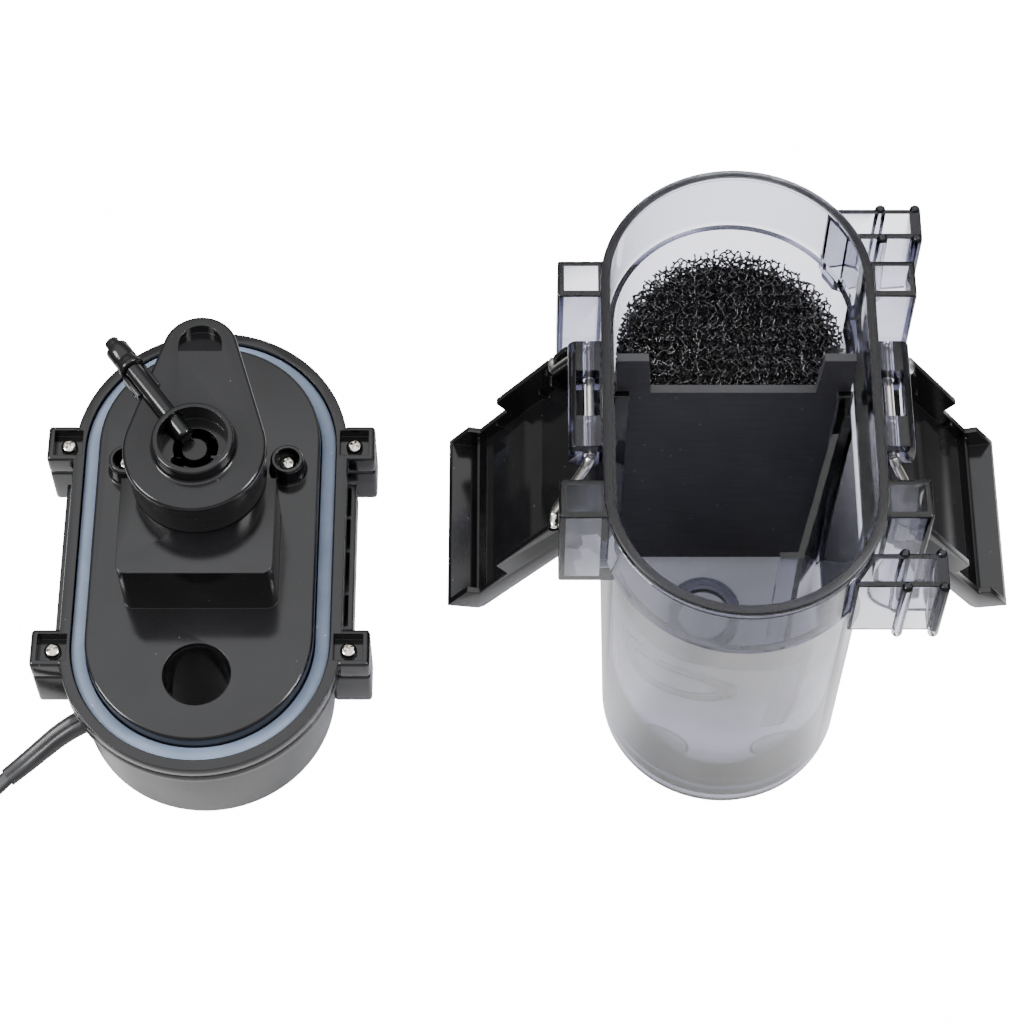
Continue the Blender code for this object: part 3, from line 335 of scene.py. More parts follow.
def new_object(name, mesh):
    obj = bpy.data.objects.new(name, mesh)
    bpy.context.scene.collection.objects.link(obj)
    return obj


def from_bmesh(name, bm):
    mesh = bpy.data.meshes.new(name)
    bm.to_mesh(mesh)
    bm.free()
    return new_object(name, mesh)


def bake(obj):
    """The object with its modifiers or curve made into a plain mesh, coinciding points merged."""
    bpy.context.view_layer.update()
    depsgraph = bpy.context.evaluated_depsgraph_get()
    mesh = bpy.data.meshes.new_from_object(obj.evaluated_get(depsgraph), depsgraph=depsgraph)
    name = obj.name
    bm = bmesh.new()
    bm.from_mesh(mesh)
    bmesh.ops.remove_doubles(bm, verts=bm.verts, dist=1e-6)
    bm.to_mesh(mesh)
    bm.free()
    bpy.data.objects.remove(obj, do_unlink=True)
    return new_object(name, mesh)


def boolean(target, tool, operation):
    modifier = target.modifiers.new("boolean", "BOOLEAN")
    modifier.operation = operation
    modifier.solver = "EXACT"
    modifier.object = tool
    made = bake(target)
    bpy.data.objects.remove(tool, do_unlink=True)
    return made


def join(target, *tools):
    for tool in tools:
        target = boolean(target, tool, "UNION")
    return target


def cut(target, *tools):
    for tool in tools:
        target = boolean(target, tool, "DIFFERENCE")
    return target


def soften(obj, width, angle=40, segments=3):
    modifier = obj.modifiers.new("edges", "BEVEL")
    modifier.width = width * MM
    modifier.segments = segments
    modifier.limit_method = "ANGLE"
    modifier.angle_limit = math.radians(angle)
    return bake(obj)


def arc(cx, cy, radius, start, end, steps):
    angles = [math.radians(start + (end - start) * k / steps) for k in range(steps + 1)]
    return [(cx + radius * math.cos(a), cy + radius * math.sin(a)) for a in angles]


def circle(cx, cy, radius, steps=48):
    return arc(cx, cy, radius, 0, 360, steps)[:-1]


def stadium(half_w, half_l, steps=44):
    straight = half_l - half_w
    return arc(0, straight, half_w, 0, 180, steps) + arc(0, -straight, half_w, 180, 360, steps)


def teardrop(inset=0.0):
    """Outline of the pump's housing: a wide round end and a narrow one, joined by tangents."""
    big, small = VOLUTE_R - inset, TIP_R - inset
    lean = math.degrees(math.asin((big - small) / (TIP_Y - PUMP_Y)))
    return arc(0, TIP_Y, small, lean, 180 - lean, 28) + arc(0, PUMP_Y, big, 180 - lean, 360 + lean, 64)


def skin(bm, pairs):
    """Side faces between pairs of neighbouring rows of points."""
    for low, high in pairs:
        for k, corner in enumerate(low):
            after = (k + 1) % len(low)
            bm.faces.new((corner, low[after], high[after], high[k]))


def loft(name, outlines, closed=False):
    """Skin through (outline, height) rows of equal point counts, capped, or closed on itself."""
    bm = bmesh.new()
    rows = [[bm.verts.new((x * MM, y * MM, z * MM)) for x, y in outline] for outline, z in outlines]
    pairs = list(zip(rows, rows[1:]))
    if closed:
        pairs.append((rows[-1], rows[0]))
    skin(bm, pairs)
    if not closed:
        bm.faces.new(list(reversed(rows[0])))
        bm.faces.new(rows[-1])
    bmesh.ops.recalc_face_normals(bm, faces=bm.faces)
    return from_bmesh(name, bm)


def stack(name, rings):
    """Skin through stadium rings, each (half width, half length, height)."""
    return loft(name, [(stadium(w, l), z) for w, l, z in rings])


def rounded_foot(half_w, half_l, z, radius):
    """Rings of a quarter round edge, from the bottom up to the full size."""
    quarter = [math.radians(15 * k) for k in range(7)]
    insets = [radius * (1 - math.sin(a)) for a in quarter]
    return [(half_w - d, half_l - d, z + radius * (1 - math.cos(a))) for a, d in zip(quarter, insets)]


def band(name, half_w, half_l, section):
    """A closed ring of a stadium outline, its section given as (inset, height) points."""
    return loft(name, [(stadium(half_w - d, half_l - d), z) for d, z in section], closed=True)


def lathe(name, cx, cy, section, steps=48):
    """A closed ring turned about an upright axis, its section given as (radius, height) points."""
    return loft(name, [(circle(cx, cy, max(r, 0.001), steps), z) for r, z in section], closed=True)


def prism(name, outlines, z0, z1):
    """Outlines extruded from z0 to z1, any after the first being holes."""
    curve = bpy.data.curves.new(name, "CURVE")
    curve.dimensions = "2D"
    curve.fill_mode = "BOTH"
    curve.extrude = (z1 - z0) / 2 * MM
    for outline in outlines:
        spline = curve.splines.new("POLY")
        spline.points.add(len(outline) - 1)
        for point, (x, y) in zip(spline.points, outline):
            point.co = (x * MM, y * MM, 0, 1)
        spline.use_cyclic_u = True
    made = bake(new_object(name, curve))
    made.data.transform(Matrix.Translation((0, 0, (z0 + z1) / 2 * MM)))
    return made


def box(name, low, high, edge=0.0, segments=3):
    bm = bmesh.new()
    bmesh.ops.create_cube(bm, size=1.0)
    bmesh.ops.scale(bm, vec=[(b - a) * MM for a, b in zip(low, high)], verts=bm.verts)
    bmesh.ops.translate(bm, vec=[(a + b) / 2 * MM for a, b in zip(low, high)], verts=bm.verts)
    obj = from_bmesh(name, bm)
    return soften(obj, edge, segments=segments) if edge else obj


def span(sign, inner, outer):
    """The two distances on one side of a mirror plane, lowest first."""
    return sorted((sign * inner, sign * outer))


def rod(name, start, end, radius, steps=40):
    a, b = Vector(start) * MM, Vector(end) * MM
    bm = bmesh.new()
    bmesh.ops.create_cone(bm, cap_ends=True, segments=steps, radius1=radius * MM, radius2=radius * MM,
                          depth=(b - a).length)
    turn = Vector((0, 0, 1)).rotation_difference(b - a).to_matrix().to_4x4()
    bmesh.ops.transform(bm, matrix=Matrix.Translation((a + b) / 2) @ turn, verts=bm.verts)
    return from_bmesh(name, bm)


def turned(name, start, end, section, steps=32):
    """A solid turned about the line from start to end: (distance along, radius) points."""
    a, b = Vector(start) * MM, Vector(end) * MM
    rows = [(circle(0, 0, max(r, 0.001), steps), d) for d, r in section]
    obj = loft(name, rows)
    turn = Vector((0, 0, 1)).rotation_difference(b - a).to_matrix().to_4x4()
    obj.data.transform(Matrix.Translation(a) @ turn)
    return obj


def upright(obj):
    """Stands a prism up: its outline was (x, z), and its length lies along y."""
    obj.data.transform(Matrix.Rotation(math.radians(90), 4, "X"))
    return obj


def place(obj, at, angle=0.0, axis="Z"):
    """Turns a mesh about its own origin, in degrees, and moves it."""
    turn = Matrix.Rotation(math.radians(angle), 4, axis)
    obj.data.transform(Matrix.Translation(Vector(at) * MM) @ turn)
    return obj


def smooth_route(points, spacing):
    """A curve through all the points, sampled about every spacing."""
    route = [Vector(p) for p in points]
    padded = [route[0] * 2 - route[1]] + route + [route[-1] * 2 - route[-2]]
    made = []
    for p0, p1, p2, p3 in zip(padded, padded[1:], padded[2:], padded[3:]):
        count = max(1, round((p2 - p1).length / spacing))
        for k in range(count):
            t = k / count
            made.append(0.5 * (2 * p1 + (p2 - p0) * t + (2 * p0 - 5 * p1 + 4 * p2 - p3) * t * t
                               + (3 * p1 - p0 - 3 * p2 + p3) * t ** 3))
    return made + [route[-1]]


def sweep(name, points, sections, up=(0, 0, 1)):
    """A closed tube through points, with one flat (side, up) section for each."""
    bm = bmesh.new()
    rows = []
    for k, point in enumerate(points):
        ahead = points[min(k + 1, len(points) - 1)] - points[max(k - 1, 0)]
        side = ahead.cross(Vector(up)).normalized()
        lift = side.cross(ahead.normalized())
        rows.append([bm.verts.new((point + side * s + lift * h) * MM) for s, h in sections[k]])
    skin(bm, zip(rows, rows[1:]))
    bm.faces.new(rows[0])
    bm.faces.new(list(reversed(rows[-1])))
    bmesh.ops.recalc_face_normals(bm, faces=bm.faces)
    return from_bmesh(name, bm)


def finish(obj, material, body, nodes, x, angle=38):
    """Last step of every piece: looks, its place in x, shading, and what it rides on and replaces."""
    obj.data.materials.clear()
    obj.data.materials.append(material)
    place(obj, (x, 0, 0))
    obj.data.shade_smooth()
    obj.data.set_sharp_from_angle(angle=math.radians(angle))
    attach(obj, body)
    if nodes:
        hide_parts(*nodes)
    return obj


# ---------------- mains lead

# Points are in the head's own x. The lead's route repeats the CAD's, its flat section lying a little lower.
RELIEF = ((-33.0, -48.0, 15.5), (-41.0, -51.0, 15.0), (-48.0, -54.2, 12.2), (-54.0, -57.6, 8.6),
          (-60.0, -61.6, 5.6), (-66.0, -66.2, 3.9))
RELIEF_THICK, RELIEF_THIN = (8.4, 7.4), (6.5, 4.6)
IN_RELIEF = (-62.2, -63.2, 4.9)
CORD_ROUTE = ((-66.25, -66.4, 3.8), (-71.0, -70.6, 3.1), (-77.0, -75.8, 2.7), (-83.0, -80.6, 2.7),
              (-85.6, -82.4, 2.7))
CORD_W, CORD_H, LYING_Z, SETTLED = 5.2, 3.1, 1.75, 0.95
BEFORE_COIL = (-92.5, -86.0, LYING_Z)
TAIL_ROUTE = ((-133.6, -17.6, 9.3), (-131.0, -15.6, 9.0), (-128.5, -14.0, 8.5), (-126.3, -12.9, 8.1))

# The coil's turns, each (radius, height), from its first angle to its last in degrees.
COIL_X, COIL_Y = -118.0, -58.0
COIL_ROWS = ((35.2, LYING_Z), (30.0, LYING_Z), (24.8, LYING_Z), (24.8, 5.0), (30.0, 5.0), (35.2, 5.0),
             (30.0, 8.25), (35.2, 8.25))
COIL_START, COIL_END, COIL_STEP = -58.0, 148.0, 12
STEP_OVER = 0.8
TIE_AT, TIE_LIFT, TIE_REACH = 15.0, 1.45, 28.0

PLUG_AT, PLUG_TURN = (-112.0, -6.3, 0.0), 25.0
PLUG_HALF, PLUG_H, PIN_Y = 15.0, 16.0, 6.35


def flat_twin(width, height, steps=20):
    """Section of a flat two-core lead, pinched along its middle."""
    points = []
    for k in range(steps):
        a = 2 * math.pi * k / steps
        x = math.copysign(abs(math.cos(a)) ** 0.75, math.cos(a)) * width / 2
        pinch = 1.0 - 0.22 * math.exp(-(x / (width * 0.1)) ** 2)
        points.append((x, math.sin(a) * height / 2 * pinch))
    return points


def coil_route():
    """Turns from the bottom outside to the top outside, each laid beside or on the last."""
    total = (COIL_START - COIL_END) % 360 + 360 * (len(COIL_ROWS) - 1)
    steps = int(total / COIL_STEP)
    points = []
    for k in range(steps + 1):
        swept = total * k / steps
        row = min(int(swept / 360), len(COIL_ROWS) - 1)
        radius, z = COIL_ROWS[row]
        late = swept / 360 - row
        if row + 1 < len(COIL_ROWS) and late > STEP_OVER:
            t = (late - STEP_OVER) / (1 - STEP_OVER)
            ease = t * t * (3 - 2 * t)
            radius += (COIL_ROWS[row + 1][0] - radius) * ease
            z += (COIL_ROWS[row + 1][1] - z) * ease
        angle = COIL_START - swept
        from_tie = (angle - TIE_AT + 180) % 360 - 180
        z += TIE_LIFT * math.exp(-(from_tie / TIE_REACH) ** 2)
        a = math.radians(angle)
        points.append((COIL_X + radius * math.cos(a), COIL_Y + radius * math.sin(a), z))
    return points


def make_relief(black):
    """Strain relief, from a thick oval at the casing to the lead's own section."""
    route = smooth_route(RELIEF, 1.6)
    sections = []
    for k in range(len(route)):
        t = k / (len(route) - 1)
        width, height = (thick + (thin - thick) * t for thick, thin in zip(RELIEF_THICK, RELIEF_THIN))
        sections.append(flat_twin(width, height, 28))
    finish(sweep("cord_relief_sleeve", route, sections), black, "head", ["cord_relief"], HEAD_X)


def make_cord(black):
    lying = [(x, y, max(LYING_Z, z - SETTLED)) for x, y, z in CORD_ROUTE[1:]]
    route = [IN_RELIEF, CORD_ROUTE[0]] + lying + [BEFORE_COIL] + coil_route() + list(TAIL_ROUTE)
    points = smooth_route(route, 3.5)
    cord = sweep("mains_cord", points, [flat_twin(CORD_W, CORD_H)] * len(points))
    finish(cord, black, "head", ["cord", "cord_coil", "cord_tail"], HEAD_X)


def make_plug(black):
    """Two-pin plug body with a waist and a soft cord end, and a seat around each pin."""
    rows = []
    for along, width, height in ((-15.0, 8.0, 8.0), (-14.2, 9.6, 9.6), (-9.0, 12.0, 11.2), (-4.0, 19.5, 13.6),
                                 (0.0, 22.4, 14.4), (4.0, 21.6, 14.0), (9.0, 22.8, 15.0), (12.0, 24.0, 16.0),
                                 (14.4, 24.0, 16.0), (15.0, 23.2, 15.2)):
        outline = []
        for k in range(40):
            a = 2 * math.pi * k / 40
            c, s = math.cos(a), math.sin(a)
            outline.append((math.copysign(abs(c) ** 0.45, c) * height / 2,
                            math.copysign(abs(s) ** 0.45, s) * width / 2))
        rows.append((outline, along))
    body = place(loft("plug_shell", rows), (0, 0, PLUG_H / 2), 90, "Y")
    for side in (-1, 1):
        y0, y1 = side * PIN_Y - 1.05, side * PIN_Y + 1.05
        low, high = (PLUG_HALF - 3, y0, PLUG_H / 2 - 3.5), (PLUG_HALF + 1, y1, PLUG_H / 2 + 3.5)
        body = cut(body, box("seat", low, high))
    return finish(place(body, PLUG_AT, PLUG_TURN), black, "head", ["plug_body"], HEAD_X)


# ---------------- canister and latches

# The collar's outline and rim, the body below it, the latch wires' eyes and the parts around the collar.
CAN_W, CAN_L, CAN_TOP = 42.0, 78.0, 146.0
BODY_W, BODY_L, BODY_Z = 38.8, 74.8, 1.5
EYE_X, EYE_Z, EYE_BORE = 45.5, 134.1, 1.9
LUG_X, LUG_Y, LUG_Z, LUG_WALL = (38.1, 55.0), (32.2, 45.2), (104.0, 144.0), 2.0
RAIL_X, RAIL_Y, RAIL_Z, RAIL_WALL = (31.0, 58.5), (55.5, 66.5), (113.0, 141.0), 1.8
BEAD = ((0, 0.9), (0.5, 1.5), (1.2, 1.7), (29.4, 1.7), (30.1, 1.5), (30.6, 0.9))
GUIDE_Z = (2.5, 116.0)
CORNERS = [(sx, sy) for sy in (-1, 1) for sx in (-1, 1)]


def tank():
    """Drafted body with a rounded foot, a ledge, and the collar with a fine groove below its rim."""
    rings = rounded_foot(BODY_W, BODY_L, BODY_Z, 4.0)
    for inset, z in ((2.4, 118.3), (2.1, 118.9), (0.5, 119.7), (0.0, 120.3), (0.0, 142.6), (0.3, 142.8),
                     (0.3, 143.1), (0.0, 143.3), (0.0, 145.4), (0.2, 145.8), (0.6, CAN_TOP)):
        rings.append((CAN_W - inset, CAN_L - inset, z))
    return stack("tank", rings)


def tank_cavity():
    """The inside: it follows the body's draft, and steps outwards behind the collar."""
    rows = ((8.1, 3.9), (6.4, 4.5), (5.6, 6.4), (4.8, 120.0), (3.0, 120.02), (3.0, 145.7), (2.7, 146.02),
            (2.7, 147.0))
    return stack("cavity", [(CAN_W - inset, CAN_L - inset, z) for inset, z in rows])


def knuckle(sx):
    """Block around a latch wire's eye, round on its outer side."""
    side = 0 if sx > 0 else 180
    outline = [(sx * 41.0, 140.0), (sx * 41.0, 128.5)] + arc(sx * 49.0, 131.5, 3.0, side - sx * 90, side, 8)
    outline += arc(sx * 49.0, 137.0, 3.0, side, side + sx * 90, 8)
    return soften(upright(prism("knuckle", [outline], -18.5, 18.5)), 0.5, 60)


def make_canister(clear):
    """The clear tank, its corner lugs, wire eyes, hanger rails, divider guides and the ring on its floor."""
    extras = []
    for sx in (-1, 1):
        for sy in (-1, 1):
            (x0, x1), (y0, y1) = span(sx, *LUG_X), span(sy, *LUG_Y)
            extras.append(box("lug", (x0, y0, LUG_Z[0]), (x1, y1, LUG_Z[1]), 0.7))
        extras.append(knuckle(sx))
    for sy in (-1, 1):
        y0, y1 = span(sy, *RAIL_Y)
        extras.append(box("rail", (RAIL_X[0], y0, RAIL_Z[0]), (RAIL_X[1], y1, RAIL_Z[1]), 0.4))
        for x in (46.0, 56.8):
            for y in (y0, y1):
                extras.append(turned("bead", (x, y, 111.0), (x, y, 141.6), BEAD, 20))
    shell = cut(join(tank(), *extras), tank_cavity())

    for sx in (-1, 1):
        for sy in (-1, 1):
            x0, x1 = span(sx, 42.6, LUG_X[1] - LUG_WALL)
            y0, y1 = span(sy, LUG_Y[0] + LUG_WALL, LUG_Y[1] - LUG_WALL)
            shell = cut(shell, box("pocket", (x0, y0, LUG_Z[0] + LUG_WALL), (x1, y1, LUG_Z[1] + LUG_WALL)))
        x = sx * EYE_X
        x0, x1 = span(sx, 42.6, 49.6)
        shell = cut(shell, rod("bore", (x, -19.5, EYE_Z), (x, 19.5, EYE_Z), EYE_BORE, steps=24),
                    box("window", (x0, -8.0, 127.0), (x1, 8.0, 141.0)))
    near_y, far_y = RAIL_Y[0] + RAIL_WALL, RAIL_Y[1] - RAIL_WALL
    for sy in (-1, 1):
        outline = [(37.5, sy * near_y), (54.9, sy * near_y), (54.9, sy * far_y), (32.4, sy * far_y)]
        shell = cut(shell, prism("hollow", [outline[::sy]], RAIL_Z[0] - 1, RAIL_Z[1] + 1))

    ribs = []
    for sx in (-1, 1):
        for reach, y0, y1 in ((32.5, 13.1, 15.3), (35.5, 18.7, 20.9)):
            x0, x1 = span(sx, reach, 38.1)
            ribs.append(box("guide", (x0, y0, GUIDE_Z[0]), (x1, y1, GUIDE_Z[1]), 0.3))
    ring = ((9.0, 3.4), (12.5, 3.4), (12.5, 8.4), (12.1, 8.9), (9.4, 8.9), (9.0, 8.5))
    ribs.append(lathe("floor_ring", -4.0, -6.0, ring))
    finish(join(shell, *ribs), clear, "canister", ["canister"], CAN_X)


def make_feet(ring_rubber, pad_rubber):
    """Round pads, each a pale disc inside a darker ring."""
    section = ((7.9, 0.2), (8.1, 0.0), (8.7, 0.0), (9.0, 0.3), (9.0, 1.2), (7.9, 1.2))
    for number, (sx, sy) in enumerate(CORNERS, 1):
        x, y = sx * 19.5, sy * 54.0
        finish(lathe(f"foot_ring_{number}", x, y, section, 64), ring_rubber, "canister",
               [f"foot_pad_{number}"], CAN_X)
        disc = turned(f"foot_disc_{number}", (x, y, 0.0), (x, y, 1.2), ((0, 7.3), (0.2, 7.6), (1.2, 7.6)), 64)
        finish(disc, pad_rubber, "canister", (), CAN_X)


# Latches, at rest: the wire hangs out from its eye, and the lever turns about the wire's far end.
BAIL_REACH, BAIL_DOWN, LEVER_DOWN = 25.6, 65.3, 55.3
LEVER_HALF, LEVER_WALL = 30.6, 2.0
LEVER_RIBS = (("rib", -5.2, -3.8, (26.8, 29.1), -10.5, -0.6, 0.25),
              ("rib", 4.0, 5.4, (26.8, 29.1), -10.5, -0.6, 0.25),
              ("bracket", 4.1, 5.3, (23.4, 29.0), -10.5, -2.4, 0.3),
              ("web", -4.5, 4.7, (26.8, 27.9), -10.6, -2.6, 0.0),
              ("stiffener", 16.0, 17.2, (27.6, 28.9), -10.5, -6.2, 0.2),
              ("stiffener", 40.0, 41.2, (27.6, 28.9), -10.5, -6.2, 0.2))
HALF_WIRE = ((25.6, 30.2), (25.6, 27.6), (25.3, 26.2), (24.2, 25.1), (22.6, 24.7), (14.0, 22.9), (4.2, 21.0),
             (2.2, 20.7), (0.9, 20.0), (0.15, 18.6), (0.0, 16.5))


def lever_mesh(name):
    """A shallow tray with a lip at its far end, about its hinge at the origin, with ribs beside the wire."""
    side = [(-8.0, 0.9), (-11.5, -3.0), (-11.5, -7.6), (-10.9, -9.6), (-9.6, -11.2), (-7.6, -12.0),
            (55.0, -12.0), (57.4, -11.2), (58.4, -9.4), (61.7, -1.8), (50.0, -1.8), (48.8, -5.5),
            (32.6, -5.2), (30.5, 0.7)]
    inside = [(-13.0, 6.0), (-13.0, -3.0), (-9.5, -3.0), (-9.5, -10.0), (22.0, -10.0), (22.5, -9.7),
              (56.2, -9.7), (59.7, -1.2), (60.2, 6.0)]
    ridge = [(50.6, -10.2), (51.2, -6.9), (51.8, -6.5), (52.5, -6.9), (53.1, -10.2)]
    room = LEVER_HALF - LEVER_WALL
    obj = soften(upright(prism(name, [side], -LEVER_HALF, LEVER_HALF)), 0.45, 30, 2)
    obj = cut(obj, upright(prism("hollow", [inside], -room, room)))
    obj = join(obj, upright(prism("ridge", [ridge], -room - 0.3, room + 0.3)))
    for sy in (-1, 1):
        for part, x0, x1, reach, z0, z1, edge in LEVER_RIBS:
            y0, y1 = span(sy, *reach)
            obj = join(obj, box(part, (x0, y0, z0), (x1, y1, z1), edge))
    return cut(obj, rod("bore", (0, -32, 0), (0, 32, 0), EYE_BORE, steps=24))


def bail_mesh(name):
    """Bent wire with slightly rounded ends, about its eyes' axis."""
    wire = [(x, y, 0) for x, y in HALF_WIRE] + [(x, -y, 0) for x, y in reversed(HALF_WIRE)]
    points = smooth_route(wire, 1.0)
    radii = [1.0, 1.35] + [1.5] * (len(points) - 4) + [1.35, 1.0]
    return sweep(name, points, [circle(0, 0, radius, 16) for radius in radii])


def make_latches(black, nickel):
    down = math.radians(BAIL_DOWN)
    out, drop = BAIL_REACH * math.cos(down), BAIL_REACH * math.sin(down)
    for side, sign in (("left", -1), ("right", 1)):
        facing = 0 if sign > 0 else 180
        bail = place(bail_mesh(f"{side}_wire"), (0, 0, 0), BAIL_DOWN, "Y")
        place(bail, (sign * EYE_X, 0, EYE_Z), facing)
        finish(bail, nickel, f"{side}_bail", [f"{side}_bail_wire"], CAN_X)
        lever = place(lever_mesh(f"{side}_lever"), (0, 0, 0), LEVER_DOWN, "Y")
        place(lever, (sign * (EYE_X + out), 0, EYE_Z - drop), facing)
        finish(lever, black, f"{side}_lever", [f"{side}_latch_lever"], CAN_X)


# ---------------- foam

# The block, flat at the divider and round at the back, and its cells. Struts are modelled only in a skin of
# it, deeper near the top, where they are seen against the light. A dark core fills the rest.
FOAM_FRONT, FOAM_LOW, FOAM_TOP, FOAM_W, FOAM_L = 21.4, 7.3, 110.9, 35.8, 71.8
CELL = 4.2
SKIN, TOP_SKIN, TOP_ZONE = 4.0, 8.0, 11.0
STRUT_END, STRUT_MIDDLE, DROPPED = 0.38, 0.25, 0.10
CORE_INSET, CORE_DOWN = 2.6, 6.5


def foam_depth(p):
    """Distance in from the nearest face of the foam's block, negative outside it."""
    straight = FOAM_L - FOAM_W
    over = np.maximum(p[:, 1] - straight, 0.0)
    side = FOAM_W - np.hypot(p[:, 0], over)
    return np.minimum.reduce((side, p[:, 1] - FOAM_FRONT, FOAM_TOP - p[:, 2], p[:, 2] - FOAM_LOW))


def foam_cell():
    """Edges of one space-filling cell, as pairs of corners in quarter cells."""
    corners = sorted({p for a in (-1, 1) for b in (-2, 2) for p in itertools.permutations((0, a, b))})
    return [(p, q) for n, p in enumerate(corners) for q in corners[n + 1:]
            if sum((u - v) ** 2 for u, v in zip(p, q)) == 2]


def foam_lattice(rng):
    """Jittered corners of the cells near the block's faces, and the struts between them as index pairs."""
    step = CELL / 4.0
    sides = (2 * FOAM_W, FOAM_L - FOAM_FRONT, FOAM_TOP - FOAM_LOW)
    counts = [int(side / CELL) + 3 for side in sides]
    base = np.array([-FOAM_W - CELL, FOAM_FRONT - CELL, FOAM_LOW - CELL])
    pairs = foam_cell()
    edges = set()
    for i, j, k, half in itertools.product(*map(range, counts), (0, 2)):
        cell = (4 * i + half, 4 * j + half, 4 * k + half)
        middle = base + np.array(cell) * step
        skin = TOP_SKIN if middle[2] > FOAM_TOP - TOP_ZONE else SKIN
        if not -CELL < foam_depth(middle[None])[0] < skin:
            continue
        for p, q in pairs:
            one = tuple(c + v for c, v in zip(cell, p))
            two = tuple(c + v for c, v in zip(cell, q))
            edges.add((one, two) if one < two else (two, one))
    edges = sorted(edges)
    keys = sorted({corner for edge in edges for corner in edge})
    index = {key: n for n, key in enumerate(keys)}
    points = base + np.array(keys, float) * step
    points += rng.normal(0.0, 0.3, points.shape)
    points += np.sin(points[:, [1, 2, 0]] * 0.55 + np.array([0.3, 1.7, 4.1])) * 0.5
    return points, np.array([(index[a], index[b]) for a, b in edges])


def foam_struts(rng):
    """Ends of the struts that are kept, cut off at the block's faces."""
    points, links = foam_lattice(rng)
    a, b = points[links[:, 0]], points[links[:, 1]]
    depth_a, depth_b = foam_depth(a), foam_depth(b)
    keep = (np.maximum(depth_a, depth_b) > 0.0) & (rng.random(len(a)) > DROPPED)
    a, b, depth_a, depth_b = a[keep], b[keep], depth_a[keep], depth_b[keep]
    fall = depth_a - depth_b
    share = np.clip(depth_a / np.where(np.abs(fall) < 1e-9, 1.0, fall), 0.0, 1.0)
    face = a + (b - a) * share[:, None]
    a, b = np.where((depth_a < 0)[:, None], face, a), np.where((depth_b < 0)[:, None], face, b)
    long = np.linalg.norm(b - a, axis=1) > 0.25
    return a[long], b[long]


def make_foam(strut_black, core_black):
    """Three-sided struts, thin and a little bent in the middle, over a dark core."""
    rng = np.random.default_rng(7)
    a, b = foam_struts(rng)
    count = len(a)
    along = (b - a) / np.linalg.norm(b - a, axis=1)[:, None]
    helper = np.where(np.abs(along[:, 2:3]) < 0.8, [[0.0, 0.0, 1.0]], [[1.0, 0.0, 0.0]])
    side = np.cross(along, helper)
    side /= np.linalg.norm(side, axis=1)[:, None]
    lift = np.cross(along, side)
    middle = (a + b) / 2 + rng.normal(0.0, 0.16, a.shape)
    verts = []
    for point, radius in ((a, STRUT_END), (middle, STRUT_MIDDLE), (b, STRUT_END)):
        size = radius * rng.uniform(0.8, 1.2, (count, 1))
        for k in range(3):
            t = 2 * math.pi * k / 3
            verts.append(point + (side * math.cos(t) + lift * math.sin(t)) * size)
    verts = np.stack(verts, axis=1)
    pattern = np.array([(row + k, row + (k + 1) % 3, row + 3 + (k + 1) % 3, row + 3 + k)
                        for row in (0, 3) for k in range(3)])
    faces = (np.arange(count)[:, None, None] * 9 + pattern[None]).reshape(-1, 4)
    mesh = bpy.data.meshes.new("foam_struts")
    mesh.from_pydata((verts.reshape(-1, 3) * MM).tolist(), [], faces.tolist())
    finish(new_object("foam_struts", mesh), strut_black, "foam", ["foam_block"], CAN_X, angle=180)

    # The core stands for the deep foam behind the struts; its near-black colour is painted shade there.
    core_w, core_l, core_y = FOAM_W - CORE_INSET, FOAM_L - CORE_INSET, FOAM_FRONT + CORE_INSET
    outline = [(core_w, core_y)] + arc(0, core_l - core_w, core_w, 0, 180, 40) + [(-core_w, core_y)]
    core = loft("foam_core", [(outline, FOAM_LOW + CORE_INSET), (outline, FOAM_TOP - CORE_DOWN)])
    finish(core, core_black, "foam", (), CAN_X)


# ---------------- motor head

# Heights of the casing's top, the plate's rim, the deck and the block under the pump.
CASING_TOP, PLATE_LOW, PLATE_TOP, DECK_TOP, BLOCK_TOP = 35.7, 36.0, 45.0, 49.7, 74.0
PLATE_W, PLATE_L = 45.9, 82.0
DECK_W, DECK_L = 36.9, 73.0
SEAL_W, SEAL_L, SEAL_T, SEAL_LOW, SEAL_TOP = 41.9, 78.0, 4.7, 39.8, 43.7
SCREW_X, SCREW_Y, SCREW_HOLE = 48.0, 38.3, 1.75
PUMP_Y, VOLUTE_R, TIP_Y, TIP_R = 9.8, 22.9, 46.7, 12.2
PORT_Y, PORT_BORE, OUTLET_BORE = -50.3, 11.0, 6.5
BOSS_X, BOSS_Y = 26.7, 25.1
COVER_LOW, COVER_TOP, COVER_ROUND, NECK_TOP = 87.3, 91.3, 1.2, 97.0
TUBE_TIP, TUBE_END, TUBE_R = Vector((-2.2, 12.2, 92.8)), Vector((-28.8, 48.2, 92.8)), 2.85
TUBE_ALONG = (TUBE_END - TUBE_TIP).normalized()
TUBE_OUT = math.degrees(math.atan2(TUBE_ALONG.y, TUBE_ALONG.x))


def drill(obj, x, y, z0, z1, radius=SCREW_HOLE, steps=16):
    return cut(obj, rod("hole", (x, y, z0), (x, y, z1), radius, steps=steps))


def head_lugs(z0, z1, inner):
    """Four corner lugs, their inner ends buried in the wall."""
    made = []
    for sx, sy in CORNERS:
        (x0, x1), (y0, y1) = span(sx, inner, 55.0), span(sy, SCREW_Y - 6.6, SCREW_Y + 6.6)
        made.append(box("lug", (x0, y0, z0), (x1, y1, z1), 1.3, 4))
    return made


